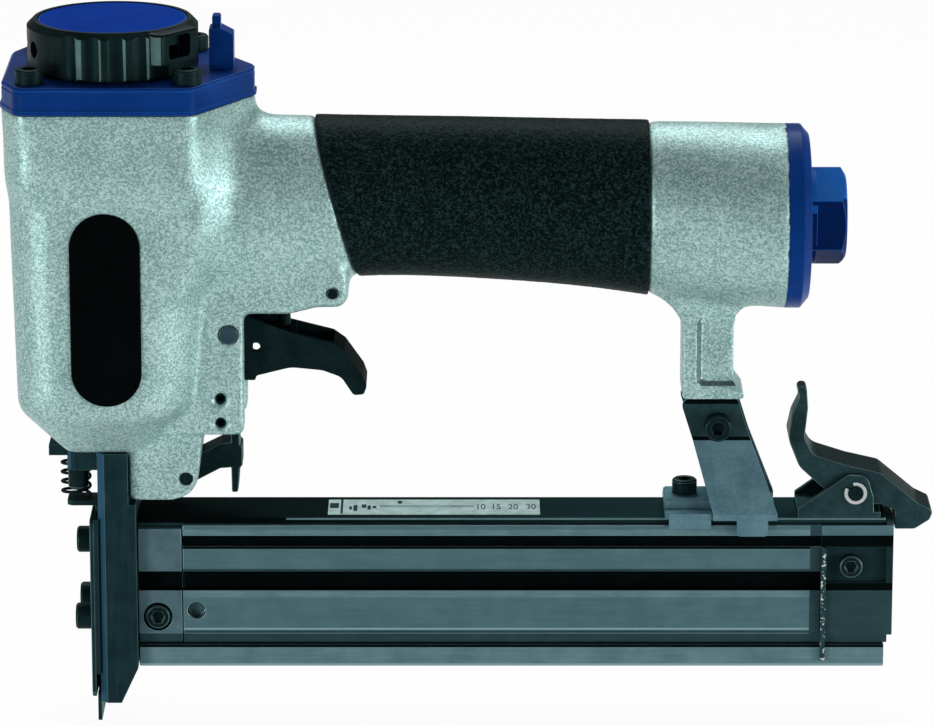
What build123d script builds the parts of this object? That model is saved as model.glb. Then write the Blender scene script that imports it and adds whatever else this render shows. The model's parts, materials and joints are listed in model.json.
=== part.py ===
from build123d import *
import math
import os

# Air nailer with a side-opening magazine. Millimetres.
# The driving axis is Z through the origin, and the nose face lies on Z = 0.
# +X runs to the rear along the handle, and -Y is the side with the badge.

# Shared fits
FIT = 0.02
RUNNING_FIT = 0.06
SLIDE_GAP = 0.3
SEAT_GAP = 0.1

# Cylinder, piston and driver
BORE_R = 17.0
LINER_WALL = 2.0
LINER_LENGTH = 70.0
CAVITY_R = 21.2
LINER_SEAT_DEPTH = 8.0
BUMPER_HEIGHT = 7.0
PISTON_HEIGHT = 14.0
PISTON_TOP_GAP = 3.0
DRIVER_X = 1.4
DRIVER_Y = 2.6
DRIVER_TIP_RISE = 2.5
DRIVER_ROOT = 8.0
DRIVER_PIN_R = 1.0
RING_R = 1.2

# Head casting
HEAD_BOTTOM_Z = 67.0
HEAD_FLOOR = 9.0
VALVE_CHAMBER = 12.4
HEAD_FRONT_STEP = 1.4
HEAD_DRAFT = 1.3
HEAD_REAR_WALL = 3.8
HEAD_REAR_STEP = 1.6
HEAD_SIDE_STEP = 2.0
HEAD_CORNER_R = 12.0
HEAD_REAR_FLAT = 2.0
HEAD_COLLAR_CORNER_R = 14.0
HEAD_FOOT_CUT = 13.0
HEAD_FOOT_FRONT_CUT = 12.0
HEAD_FOOT_CORNER_R = 2.5
HEAD_FOOT_EDGE_R = 2.0
HEAD_SHOULDER_R = 6.0
COLLAR_HEIGHT = 21.4
COLLAR_INSET = 0.4
DRIVER_HOLE_R = 4.0

# Cylinder cap and exhaust
GASKET = 0.3
CAP_THICKNESS = 6.8
CAP_LIP = 0.5
CAP_LIP_HEIGHT = 1.0
CAP_GROOVE_DROP = 1.7
CAP_GROOVE_HEIGHT = 0.6
CAP_GROOVE_DEPTH = 0.4
CAP_FRONT_X = -27.5
CAP_FRONT_HALF_WIDTH = 17.0
CAP_SIDE_FRONT_X = -22.8
CAP_SIDE_REAR_X = 21.2
CAP_HALF_WIDTH = 27.0
CAP_TAIL_X = 36.2
CAP_TAIL_HALF_WIDTH = 2.5
CAP_BOSS_R = 15.0
CAP_BOSS_HEIGHT = 8.0
POST_FRONT_X = 24.4
POST_WIDTH = 6.2
POST_HALF_DEPTH = 3.2
POST_HEIGHT = 10.2
NUB_WIDTH = 2.2
NUB_HALF_DEPTH = 1.7
NUB_HEIGHT = 3.2
CAP_BOLT_X = 19.6
CAP_BOLT_INSET = 6.7
CAP_BOLT_R = 2.5
CAP_BOLT_HEAD_R = 3.6
CAP_BOLT_HEAD = 3.8
CAP_BOLT_DEPTH = 14.0
HEAD_VALVE_R = 20.4
HEAD_VALVE_PLATE = 4.0
HEAD_VALVE_STEM_R = 8.5
HEAD_VALVE_STEM = 12.7
HEAD_VALVE_LIFT = 3.0
DEFLECTOR_R = 21.6
DEFLECTOR_WALL = 3.4
DEFLECTOR_TOP = 1.6
DEFLECTOR_RIM = 2.7
DEFLECTOR_BEVEL = 1.6
FLUTE_COUNT = 22
FLUTE_FIRST = -116.7
FLUTE_R = 4.8
FLUTE_DEPTH = 0.7
EXHAUST_HOLE_R = 2.1
EXHAUST_HOLE_ANGLES = (185.0, 207.0)
EXHAUST_HOLE_DROP = 2.0
PLAIN_SECTORS = ((170.0, 231.0), (296.0, 346.0))
HOOD_ANGLE = -40.0
HOOD_PROUD = 1.5
HOOD_HALF_WIDTH = 7.5
HOOD_CORNER_R = 2.0
HOOD_CLEARANCE = 0.6
HOOD_TOP_DROP = 0.4
WINDOW_HALF_WIDTH = 3.9
WINDOW_BORDER = 1.0
WINDOW_DEPTH = 3.4
DISC_R = 18.9
DISC_THICKNESS = 2.5
DEFLECTOR_BOLT_R = 2.5
DEFLECTOR_BOLT_HEAD_R = 4.5
DEFLECTOR_BOLT_HEAD = 1.6
DEFLECTOR_BOLT_LENGTH = 7.0

# Handle, grip and inlet: stations are X, centre Z, half width in Y and half height in Z
HANDLE_STATIONS = (
    (4.0, 128.6, 23.6, 24.2),
    (25.0, 129.0, 21.7, 23.8),
    (46.0, 131.0, 18.2, 21.5),
    (67.0, 131.9, 17.2, 20.2),
    (88.0, 131.5, 17.1, 20.3),
    (109.0, 130.6, 17.4, 20.8),
    (130.0, 129.2, 18.5, 21.8),
    (151.0, 127.5, 21.4, 23.1),
    (170.3, 126.6, 23.5, 23.5),
)
GRIP_WALL = 2.2
GRIP_PROUD = 0.4
GRIP_FRONT_TOP_X = 50.6
GRIP_FRONT_LEAN = 0.268
GRIP_FRONT_TOP_Z = 152.8
GRIP_REAR_X = 135.6
AIR_WALL = 6.0
INLET_Z = 126.6
END_CAP_R = 23.5
END_CAP_RIM = 3.7
END_CAP_FACE = 2.1
END_CAP_FACE_R = 21.0
SPIGOT_R = 15.5
SPIGOT_LENGTH = 9.0
INLET_FLATS = 22.0
INLET_HEX_LENGTH = 9.5
INLET_HEX_CHAMFER = 1.4
INLET_COLLAR_R = 12.2
INLET_COLLAR = 1.8
INLET_STUD_R = 8.0
INLET_STUD_LENGTH = 10.0
INLET_THREAD_R = 5.72
INLET_THREAD_LENGTH = 12.0
INLET_BORE_R = 4.0

# Strut at the rear of the handle
STRUT_SETBACK = 26.0
STRUT_DEPTH = 13.4
STRUT_TOE = 2.7
STRUT_TOE_HEIGHT = 4.0
STRUT_BOTTOM_Z = 80.0
STRUT_TOP_Z = 103.0
STRUT_HALF_WIDTH = 7.8
STRUT_POCKET_DEPTH = 1.2
TONGUE_HALF_WIDTH = 5.0
TONGUE_LENGTH = 13.5

# Trigger group
CHEEK_WALL = 6.6
CHEEK_DEPTH = 8.3
CHEEK_BOTTOM_Z = 72.1
SLOT_WALL = 3.2
SLOT_CLEARANCE = 0.4
BOSS_LENGTH = 16.9
BOSS_RISE = 1.8
BOSS_BOTTOM_Z = 103.7
TRIGGER_PIVOT_SETBACK = 4.5
TRIGGER_PIVOT_DROP = 5.0
TRIGGER_PIN_R = 2.4
TRIGGER_HALF_WIDTH = 7.0
TRIGGER_WALL = 1.7
TRIGGER_HOLE_R = 1.1
VALVE_ARM = 13.8
VALVE_BODY_R = 5.0
VALVE_BODY_HEIGHT = 20.0
VALVE_BODY_PROUD = 3.1
VALVE_STEM_R = 1.6
VALVE_STEM_DROP = 5.5
VALVE_STEM_HEAD_R = 3.2
RETAINING_PIN_SETBACK = 12.7
RETAINING_PIN_RISE = 5.8
RETAINING_PIN_R = 1.4
GUIDE_PIN_SETBACK = 2.3
GUIDE_PIN_RISES = (3.2, 9.6)
GUIDE_PIN_R = 1.6
GUIDE_PIN_BORE_R = 0.9
GUIDE_PIN_RECESS = 1.4

# Safety lever
LUG_FRONT_X = 2.8
LUG_HEIGHT = 13.1
LUG_LENGTH = 17.0
LUG_HALF_WIDTH = 10.5
SAFETY_PIVOT_SETBACK = 14.7
SAFETY_PIVOT_RISE = 5.7
SAFETY_PIN_R = 1.6
SAFETY_HALF_WIDTH = 4.0
SAFETY_RELIEF_R = 4.6
SAFETY_RELIEF_HALF_WIDTH = 1.8

# Nose
NOSE_FRONT_X = -5.2
NOSE_REAR_X = 4.6
NOSE_HALF_WIDTH = 13.0
NOSE_SHOULDER_DROP = 0.5
NOSE_CHAMFER_Z = 9.4
NOSE_TIP_REAR_X = 0.2
NOSE_EDGE_CHAMFER = 1.8
CHANNEL_CLEARANCE = 0.1
NAIL_SLOT_HALF_WIDTH = 0.8
NAIL_BOTTOM_Z = 12.0
NAIL_TOP_Z = 43.5
FLANGE_THICKNESS = 5.0
FLANGE_FRONT_X = -13.0
FLANGE_HALF_WIDTH = 10.4
TONGUE_SEAT_X = -18.0
TONGUE_SEAT_HALF_WIDTH = 4.4
TONGUE_SEAT_THICKNESS = 2.8
FLANGE_BOLT_X = -10.3
FLANGE_BOLT_Y = 7.3
FLANGE_BOLT_R = 1.5
FLANGE_BOLT_HEAD_R = 2.6
FLANGE_BOLT_HEAD = 5.6
FLANGE_BOLT_DEPTH = 4.6
PLATE_THICKNESS = 1.1
PLATE_HALF_WIDTH = 12.4
PLATE_BOTTOM_Z = 1.2
PLATE_CORNER = 1.4
PLATE_TOP_Z = 49.2
NOSE_BOLT_R = 2.0
NOSE_BOLT_HEAD_R = 3.4
NOSE_BOLT_HEAD = 4.0
NOSE_BOLT_REACH = 3.6
UPPER_BOLT_Z = 40.4
LOWER_BOLT_Z = 22.4
LOWER_BOLT_Y = 8.8

# Contact foot and its spring
FOOT_HALF_WIDTH = 4.0
FOOT_TIP_HALF_WIDTH = 8.4
FOOT_TIP_HEIGHT = 7.6
FOOT_THICKNESS = 1.0
FOOT_PROUD = 6.4
FOOT_TRAVEL = 6.0
FOOT_SLOT_CLEARANCE = 0.25
FOOT_LUG_Z = 50.6
FOOT_LUG_THICKNESS = 1.2
FOOT_LUG_FRONT_X = -13.6
FOOT_SPRING_X = -11.4
FOOT_SPRING_R = 3.6
FOOT_SPRING_WIRE = 0.8
FOOT_SPRING_TURNS = 4.5

# Magazine
RAIL_TAIL = 52.7
RAIL_HALF_WIDTH = 9.7
RAIL_TOP_Z = 48.8
RAIL_BOTTOM_Z = 9.0
RAIL_TOP_STEP = 1.1
TOP_FLANGE = 1.5
BOTTOM_FLANGE = 5.8
RIB_STEP = 1.5
RIB_HEIGHT = 2.6
FRONT_BLOCK_LENGTH = 11.2
FRONT_BLOCK_DROP = 0.9
END_PIECE_LENGTH = 16.6
END_SHELL = 3.3
LOW_GROOVE = (2.7, 1.2)
MIDDLE_GROOVE = (14.4, 5.1, 2.8)
HIGH_GROOVE = (26.3, 2.8, 1.0)
CARRIAGE_GROOVE_SETBACK = 1.1
CARRIAGE_GROOVE_RISE = 5.2
CARRIAGE_GROOVE_HEIGHT = 8.0
CARRIAGE_GROOVE_DEPTH = 4.4
COVER_HOLE_SETBACK = 3.4
COVER_HOLE_RISE = 9.3
COVER_HOLE_R = 2.3
COVER_HOLE_DEPTH = 3.0
FRONT_BOLT_SETBACK = 4.9
FRONT_BOLT_RISE = 7.6
FRONT_BOLT_R = 1.9
FRONT_BOLT_HEAD_R = 3.2
FRONT_BOLT_HEAD = 2.8
FRONT_BOLT_RECESS = 2.2
FRONT_WEB = 2.6
END_PLATE_THICKNESS = 1.7
END_PLATE_DROP = 0.6
END_PLATE_RISE = 2.7
END_PLATE_FAR_STEP = 2.2
END_RECESS_DROP = 7.6
END_RECESS_HEIGHT = 9.6
END_RECESS_DEPTH = 1.5
PULL_RIB_THICKNESS = 1.2
PULL_RIB_PROUD = 1.2
PULL_RIB_RISE = 1.8
END_BOLT_SETBACK = 7.8
END_BOLT_DROP = 12.8
END_BOLT_R = 1.9
END_BOLT_HEAD_R = 3.0
END_BOLT_HEAD = 2.2
END_BOLT_REACH = 4.0
PUSHER_SETBACK = 0.6
PUSHER_LENGTH = 25.0
PUSHER_THICKNESS = 1.3
CARRIAGE_LENGTH = 12.0
RIBBON = 0.15
RIBBON_ROLL_R = 1.9
RIBBON_EYE_R = 0.8
RIBBON_EDGE = 0.8
LABEL_SETBACK = 48.8
LABEL_LENGTH = 54.6
LABEL_HALF_WIDTH = 6.3
LABEL_THICKNESS = 0.3

# Bracket between strut and magazine
BRACKET_SHEET = 1.6
BRACKET_WIDTH = 14.8
BRACKET_TOP_SHIFT = -0.5
BRACKET_FOLD_SHIFT = 2.9
BRACKET_FOOT_SHIFT = 8.2
BRACKET_FOOT_WIDTH = 16.5
BRACKET_FOLD_DROP = 10.9
BRACKET_TAB_INSET = 6.1
BRACKET_TAB_WIDTH = 8.0
BRACKET_TAB_HEIGHT = 4.2
BRACKET_BASE_SHIFT = -4.1
BRACKET_BASE_LENGTH = 28.4
BRACKET_BLOCK_LENGTH = 12.4
BRACKET_BLOCK_HEIGHT = 2.6
BRACKET_BLOCK_HALF_WIDTH = 6.0
BRACKET_BOLT_SHIFT = 9.3
BRACKET_BOLT_DROP = 7.2
BRACKET_BOLT_R = 2.0
BRACKET_BOLT_HEAD_R = 3.5
BRACKET_BOLT_HEAD = 3.2
BRACKET_NUT_FLATS = 7.0
BRACKET_NUT = 3.2
CLAMP_BOLT_SETBACK = 5.3
CLAMP_BOLT_R = 2.0
CLAMP_BOLT_HEAD_R = 3.2
CLAMP_BOLT_HEAD = 3.8

# Latch
LATCH_PIVOT_INSET = 7.9
LATCH_PIVOT_RISE = 6.6
LATCH_PIN_R = 2.0
LATCH_HALF_WIDTH = 6.6
LATCH_SHEET = 1.6
LATCH_HOOK_CLEARANCE = 0.4
LATCH_HOOK_GAP = 0.5
LATCH_BASE = 1.4
LATCH_BASE_FRONT = 14.7
LATCH_BASE_REAR = 6.5
EAR_SHEET = 1.5
CLIP_R = 2.9
CLIP_THICKNESS = 0.7
LATCH_SPRING_R = 2.9
LATCH_SPRING_WIRE = 0.8
LATCH_SPRING_TURNS = 4.0

# Badge
BADGE_X = -1.4
BADGE_Z = 108.1
BADGE_WIDTH = 17.8
BADGE_HEIGHT = 50.0
BADGE_THICKNESS = 0.8
BADGE_RECESS = 0.4

# Sizes that follow from the ones above
LINER_R = BORE_R + LINER_WALL
FLOOR_Z = HEAD_BOTTOM_Z + HEAD_FLOOR
LINER_TOP_Z = FLOOR_Z + LINER_LENGTH
HEAD_TOP_Z = LINER_TOP_Z + VALVE_CHAMBER
PISTON_TOP_Z = LINER_TOP_Z - PISTON_TOP_GAP
PISTON_BOTTOM_Z = PISTON_TOP_Z - PISTON_HEIGHT
COLLAR_BOTTOM_Z = HEAD_TOP_Z - COLLAR_HEIGHT
HEAD_HALF_WIDTH = CAP_HALF_WIDTH - HEAD_SIDE_STEP
HEAD_REAR_CORNER_R = HEAD_HALF_WIDTH - HEAD_REAR_FLAT
HEAD_FRONT_X = CAP_FRONT_X + HEAD_FRONT_STEP
HEAD_FRONT_LOW_X = HEAD_FRONT_X + HEAD_DRAFT
HEAD_REAR_X = CAVITY_R + HEAD_REAR_WALL
HEAD_REAR_LOW_X = HEAD_REAR_X - HEAD_REAR_STEP
HEAD_SHOULDER_Z = HEAD_BOTTOM_Z + HEAD_FOOT_CUT
CAP_BOLT_Y = CAP_HALF_WIDTH - CAP_BOLT_INSET
CAP_BOTTOM_Z = HEAD_TOP_Z + GASKET
CAP_TOP_Z = CAP_BOTTOM_Z + CAP_THICKNESS
CAP_BOSS_TOP_Z = CAP_TOP_Z + CAP_BOSS_HEIGHT
HEAD_VALVE_Z = LINER_TOP_Z + SLIDE_GAP
DEFLECTOR_BOTTOM_Z = CAP_TOP_Z + SLIDE_GAP
DEFLECTOR_PLATE_Z = CAP_BOSS_TOP_Z + SLIDE_GAP
DEFLECTOR_TOP_Z = DEFLECTOR_PLATE_Z + DEFLECTOR_TOP
DISC_Z = DEFLECTOR_TOP_Z + SEAT_GAP
RIM_TOP_Z = DEFLECTOR_TOP_Z + DEFLECTOR_RIM
HOOD_BOTTOM_Z = CAP_TOP_Z + CAP_BOLT_HEAD + HOOD_CLEARANCE
HOOD_TOP_Z = RIM_TOP_Z - HOOD_TOP_DROP
HOOD_FRONT_R = DEFLECTOR_R + HOOD_PROUD
HANDLE_REAR_X = HANDLE_STATIONS[-1][0]
INLET_FACE_X = HANDLE_REAR_X + END_CAP_RIM + END_CAP_FACE
STRUT_FRONT_X = HANDLE_REAR_X - STRUT_SETBACK
STRUT_REAR_X = STRUT_FRONT_X + STRUT_DEPTH
STRUT_TOE_X = STRUT_REAR_X + STRUT_TOE
TONGUE_BOTTOM_Z = STRUT_BOTTOM_Z - TONGUE_LENGTH
SLOT_FRONT_X = CAVITY_R + SLOT_WALL
SLOT_HALF_WIDTH = TRIGGER_HALF_WIDTH + SLOT_CLEARANCE
CHEEK_HALF_WIDTH = SLOT_HALF_WIDTH + CHEEK_WALL
CHEEK_REAR_X = SLOT_FRONT_X + CHEEK_DEPTH
TRIGGER_PIVOT_X = SLOT_FRONT_X + TRIGGER_PIVOT_SETBACK
TRIGGER_PIVOT_Z = BOSS_BOTTOM_Z - TRIGGER_PIVOT_DROP
VALVE_X = TRIGGER_PIVOT_X + VALVE_ARM
VALVE_STEM_FOOT_Z = BOSS_BOTTOM_Z - VALVE_STEM_DROP
BOSS_REAR_X = VALVE_X + BOSS_LENGTH
RETAINING_PIN_X = VALVE_X + RETAINING_PIN_SETBACK
RETAINING_PIN_Z = BOSS_BOTTOM_Z + RETAINING_PIN_RISE
GUIDE_PIN_X = SLOT_FRONT_X + GUIDE_PIN_SETBACK
GUIDE_PIN_HEIGHTS = [CHEEK_BOTTOM_Z + rise for rise in GUIDE_PIN_RISES]
LUG_BOTTOM_Z = HEAD_BOTTOM_Z - LUG_HEIGHT
LUG_REAR_X = LUG_FRONT_X + LUG_LENGTH
SAFETY_PIVOT_X = LUG_FRONT_X + SAFETY_PIVOT_SETBACK
SAFETY_PIVOT_Z = LUG_BOTTOM_Z + SAFETY_PIVOT_RISE
NOSE_SHOULDER_Z = LUG_BOTTOM_Z - NOSE_SHOULDER_DROP
DRIVER_TIP_Z = NAIL_TOP_Z + DRIVER_TIP_RISE
FLANGE_BOTTOM_Z = HEAD_BOTTOM_Z - FLANGE_THICKNESS
TONGUE_SEAT_Z = HEAD_BOTTOM_Z - TONGUE_SEAT_THICKNESS
SPACER_FRONT_X = NOSE_FRONT_X - PLATE_THICKNESS
PLATE_FRONT_X = SPACER_FRONT_X - PLATE_THICKNESS
FOOT_BACK_X = NOSE_FRONT_X - (PLATE_THICKNESS - FOOT_THICKNESS) / 2
FOOT_FRONT_X = FOOT_BACK_X - FOOT_THICKNESS
FOOT_TIP_TOP_Z = FOOT_TIP_HEIGHT - FOOT_PROUD
SPACER_BOTTOM_Z = FOOT_TIP_TOP_Z + FOOT_TRAVEL + SLIDE_GAP
RAIL_FRONT_X = NOSE_REAR_X + 2 * SEAT_GAP
RAIL_REAR_X = STRUT_FRONT_X + RAIL_TAIL
RAIL_FLOOR_Z = RAIL_BOTTOM_Z + BOTTOM_FLANGE
RAIL_TOP_NEAR_Y = -RAIL_HALF_WIDTH + RAIL_TOP_STEP
FLANGE_UNDER_Z = RAIL_TOP_Z - TOP_FLANGE
RIB_NEAR_Y = RAIL_TOP_NEAR_Y + RIB_STEP
RIB_BOTTOM_Z = FLANGE_UNDER_Z - RIB_HEIGHT
FRONT_BLOCK_REAR_X = RAIL_FRONT_X + FRONT_BLOCK_LENGTH
COVER_FRONT_X = FRONT_BLOCK_REAR_X + SLIDE_GAP
COVER_REAR_X = RAIL_REAR_X - END_PIECE_LENGTH
COVER_BOTTOM_Z = RAIL_FLOOR_Z + SLIDE_GAP
COVER_TOP_Z = FLANGE_UNDER_Z - SLIDE_GAP
COVER_INNER_TOP_Z = RIB_BOTTOM_Z - SLIDE_GAP
COVER_INNER_Y = -NAIL_SLOT_HALF_WIDTH
COVER_INNER_LAYER_Y = -RAIL_HALF_WIDTH + END_SHELL
COVER_LIP_Y = RIB_NEAR_Y - SLIDE_GAP
LOW_BAND_GROOVE = (COVER_BOTTOM_Z, COVER_BOTTOM_Z + LOW_GROOVE[0], LOW_GROOVE[1])
BAND_GROOVES = [LOW_BAND_GROOVE] + [
    (COVER_BOTTOM_Z + rise, COVER_BOTTOM_Z + rise + height, depth)
    for rise, height, depth in (MIDDLE_GROOVE, HIGH_GROOVE)
]
CARRIAGE_GROOVE_X = COVER_FRONT_X + CARRIAGE_GROOVE_SETBACK
CARRIAGE_GROOVE_LOW_Z = RAIL_FLOOR_Z + CARRIAGE_GROOVE_RISE
CARRIAGE_GROOVE_HIGH_Z = CARRIAGE_GROOVE_LOW_Z + CARRIAGE_GROOVE_HEIGHT
CARRIAGE_GROOVE_Y = COVER_INNER_Y - CARRIAGE_GROOVE_DEPTH
CARRIAGE_FRONT_X = CARRIAGE_GROOVE_X + PUSHER_SETBACK
CARRIAGE_REAR_X = CARRIAGE_FRONT_X + CARRIAGE_LENGTH
COVER_HOLE_X = COVER_FRONT_X + COVER_HOLE_SETBACK
COVER_HOLE_Z = RAIL_FLOOR_Z + COVER_HOLE_RISE
FRONT_BOLT_X = RAIL_FRONT_X + FRONT_BOLT_SETBACK
FRONT_BOLT_Z = RAIL_FLOOR_Z + FRONT_BOLT_RISE
END_PLATE_X = RAIL_REAR_X + SLIDE_GAP
END_PLATE_REAR_X = END_PLATE_X + END_PLATE_THICKNESS
END_PLATE_TOP_Z = RAIL_TOP_Z - END_PLATE_DROP
END_RECESS_HIGH_Z = RAIL_TOP_Z - END_RECESS_DROP
END_RECESS = (END_RECESS_HIGH_Z - END_RECESS_HEIGHT, END_RECESS_HIGH_Z, END_RECESS_DEPTH)
END_BOLT_X = COVER_REAR_X + END_BOLT_SETBACK
END_BOLT_Z = RAIL_TOP_Z - END_BOLT_DROP
PUSHER_FRONT_X = RAIL_FRONT_X + PUSHER_SETBACK
LABEL_FRONT_X = RAIL_FRONT_X + LABEL_SETBACK
BRACKET_BASE_Z = RAIL_TOP_Z + BRACKET_SHEET
BRACKET_FOLD_Z = STRUT_BOTTOM_Z - BRACKET_FOLD_DROP
BRACKET_BASE_FRONT_X = STRUT_FRONT_X + BRACKET_BASE_SHIFT
BRACKET_BOLT_X = STRUT_FRONT_X + BRACKET_BOLT_SHIFT
BRACKET_BOLT_Z = STRUT_BOTTOM_Z - BRACKET_BOLT_DROP
CLAMP_BOLT_X = BRACKET_BASE_FRONT_X + CLAMP_BOLT_SETBACK
LATCH_BASE_TOP_Z = RAIL_TOP_Z + LATCH_BASE
LATCH_PIVOT_X = RAIL_REAR_X - LATCH_PIVOT_INSET
LATCH_PIVOT_Z = RAIL_TOP_Z + LATCH_PIVOT_RISE
LATCH_HOOK_X = END_PLATE_REAR_X + LATCH_HOOK_GAP
LATCH_HOOK_Z = RIB_BOTTOM_Z + LATCH_HOOK_CLEARANCE
EAR_INNER_Y = LATCH_HALF_WIDTH + SLIDE_GAP
EAR_OUTER_Y = EAR_INNER_Y + EAR_SHEET


# Drawing helpers

def outline(*corners):
    """Face from corners (u, v) or (u, v, radius), in order round the shape."""
    points = [(corner[0], corner[1]) for corner in corners]
    radii = [corner[2] if len(corner) > 2 else 0 for corner in corners]
    return make_face(FilletPolyline(*points, radius=radii, close=True))


def outline_from(x, z, *corners):
    """Outline whose corners are given from a point, such as a lever's pivot."""
    return outline(*[(x + corner[0], z + corner[1], *corner[2:]) for corner in corners])


def side_plate(face, low_y, high_y):
    """Solid of a face drawn as (X, Z), between two values of Y."""
    plane = Plane(origin=(0, high_y, 0), x_dir=(1, 0, 0), z_dir=(0, -1, 0))
    return extrude(plane * face, high_y - low_y)


def bar_along_x(face, low_x, high_x):
    """Solid of a face drawn as (Y, Z), between two values of X."""
    plane = Plane(origin=(low_x, 0, 0), x_dir=(0, 1, 0), z_dir=(1, 0, 0))
    return extrude(plane * face, high_x - low_x)


def slab(face, low_z, high_z):
    """Solid of a face drawn as (X, Y), between two values of Z."""
    return extrude(Pos(0, 0, low_z) * face, high_z - low_z)


def block(low, high):
    """Box between two corners."""
    size = [high[axis] - low[axis] for axis in range(3)]
    middle = [(high[axis] + low[axis]) / 2 for axis in range(3)]
    return Pos(*middle) * Box(*size)


def rod_z(x, y, radius, low_z, high_z):
    """Round bar along Z."""
    return Pos(x, y, (low_z + high_z) / 2) * Cylinder(radius, high_z - low_z)


def rod_y(x, z, radius, low_y, high_y):
    """Round bar along Y."""
    bar = Rot(90, 0, 0) * Cylinder(radius, high_y - low_y)
    return Pos(x, (low_y + high_y) / 2, z) * bar


def rod_x(y, z, radius, low_x, high_x):
    """Round bar along X."""
    bar = Rot(0, 90, 0) * Cylinder(radius, high_x - low_x)
    return Pos((low_x + high_x) / 2, y, z) * bar


def turned(*profile):
    """Solid of revolution about Z, from (radius, Z) points."""
    return revolve(Plane.XZ * make_face(Polyline(*profile, close=True)), Axis.Z)


def ring_z(inner, outer, low_z, high_z):
    """Flat ring about Z."""
    return turned((inner, low_z), (outer, low_z), (outer, high_z), (inner, high_z))


def both_sides(solid):
    """The solid and its mirror image across the middle plane."""
    return solid + mirror(solid, about=Plane.XZ)


def screw(head_r, head, shank_r, shank, socket_depth=0.55):
    """Socket head screw on +Z: its head stands on Z = 0 and its shank hangs below."""
    body = Pos(0, 0, head / 2) * Cylinder(head_r, head)
    body = chamfer(body.edges().group_by(Axis.Z)[-1], head * 0.12)
    body += Pos(0, 0, -shank / 2) * Cylinder(shank_r, shank)
    flats = RegularPolygon(head_r * 0.56, 6)
    return body - extrude(Pos(0, 0, head) * flats, -head * socket_depth)


def helix_point(centre, radius, pitch, turn):
    angle = 2 * math.pi * turn
    return centre + Vector(radius * math.cos(angle), radius * math.sin(angle), pitch * turn)


def helix_tangent(radius, pitch, turn):
    angle = 2 * math.pi * turn
    rise = pitch / (2 * math.pi)
    return Vector(-radius * math.sin(angle), radius * math.cos(angle), rise).normalized()


def biarc(start, start_tangent, end, end_tangent):
    """Two arcs that meet tangentially and match the tangents at both ends."""
    chord = end - start
    tangents = start_tangent + end_tangent
    spread = 2 * (1 - start_tangent.dot(end_tangent))
    along = chord.dot(tangents)
    reach = (math.sqrt(along * along + spread * chord.dot(chord)) - along) / spread
    first = start + start_tangent * reach
    last = end - end_tangent * reach
    middle = (first + last) * 0.5
    joint_tangent = (last - first).normalized()
    return [
        TangentArc(start, middle, tangent=start_tangent),
        TangentArc(middle, end, tangent=joint_tangent),
    ]


def least_gap(name, radius, pitch, wire, turns):
    """Print the least clear gap between neighbouring turns, measured on points."""
    steps_per_turn = 48
    count = int(turns * steps_per_turn)
    centre = Vector(0, 0, 0)
    points = [helix_point(centre, radius, pitch, step / steps_per_turn) for step in range(count + 1)]
    gaps = [
        (points[late] - points[early]).length
        for early in range(count + 1)
        for late in range(early + steps_per_turn // 2, count + 1)
    ]
    print(f"{name}: least gap between turns {min(gaps) - wire:.2f} mm")


def coil(name, radius, wire, turns, height):
    """Compression spring on +Z, from Z = 0 to the given height, as one swept wire."""
    pitch = (height - wire) / turns
    centre = Vector(0, 0, wire / 2)
    quarters = round(turns * 4)
    edges = []
    for quarter in range(quarters):
        low = quarter / 4
        high = (quarter + 1) / 4
        edges += biarc(
            helix_point(centre, radius, pitch, low),
            helix_tangent(radius, pitch, low),
            helix_point(centre, radius, pitch, high),
            helix_tangent(radius, pitch, high),
        )
    start = helix_point(centre, radius, pitch, 0)
    section = Plane(origin=start, z_dir=helix_tangent(radius, pitch, 0)) * Circle(wire / 2)
    least_gap(name, radius, pitch, wire, quarters / 4)
    return sweep(section, path=Wire(edges))


# Cast housing

def cap_plan(inset):
    """Plan of the cylinder cap and the head's collar: blunt in front, pointed behind."""
    side = CAP_HALF_WIDTH - inset
    front = CAP_FRONT_HALF_WIDTH
    tail = CAP_TAIL_HALF_WIDTH
    return outline(
        (CAP_FRONT_X + inset, -front, 5),
        (CAP_SIDE_FRONT_X, -side, 4),
        (CAP_SIDE_REAR_X, -side, 5),
        (CAP_TAIL_X - inset, -tail, 2),
        (CAP_TAIL_X - inset, tail, 2),
        (CAP_SIDE_REAR_X, side, 5),
        (CAP_SIDE_FRONT_X, side, 4),
        (CAP_FRONT_X + inset, front, 5),
    )


def handle_form(grow, first=0):
    """Smooth body through the handle stations, grown or shrunk by an amount."""
    sections = []
    for x, z, half_width, half_height in HANDLE_STATIONS[first:]:
        plane = Plane(origin=(x, 0, z), x_dir=(0, 1, 0), z_dir=(1, 0, 0))
        sections.append(plane * Ellipse(half_width + grow, half_height + grow))
    return loft(sections)


def grip_zone():
    """Slab of space that the grip sleeve fills along the handle."""
    top = GRIP_FRONT_TOP_Z + 40
    low = GRIP_FRONT_TOP_Z - 80
    front_top = GRIP_FRONT_TOP_X - (top - GRIP_FRONT_TOP_Z) * GRIP_FRONT_LEAN
    front_low = GRIP_FRONT_TOP_X + (GRIP_FRONT_TOP_Z - low) * GRIP_FRONT_LEAN
    face = outline((front_top, top), (GRIP_REAR_X, top), (GRIP_REAR_X, low), (front_low, low))
    return side_plate(face, -60, 60)


def head_section(z, front_x, rear_x, half_width, front_r, rear_r):
    """Plan of the barrel at a height, rounder behind than in front."""
    return Pos(0, 0, z) * outline(
        (front_x, -half_width, front_r),
        (rear_x, -half_width, rear_r),
        (rear_x, half_width, rear_r),
        (front_x, half_width, front_r),
    )


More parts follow.
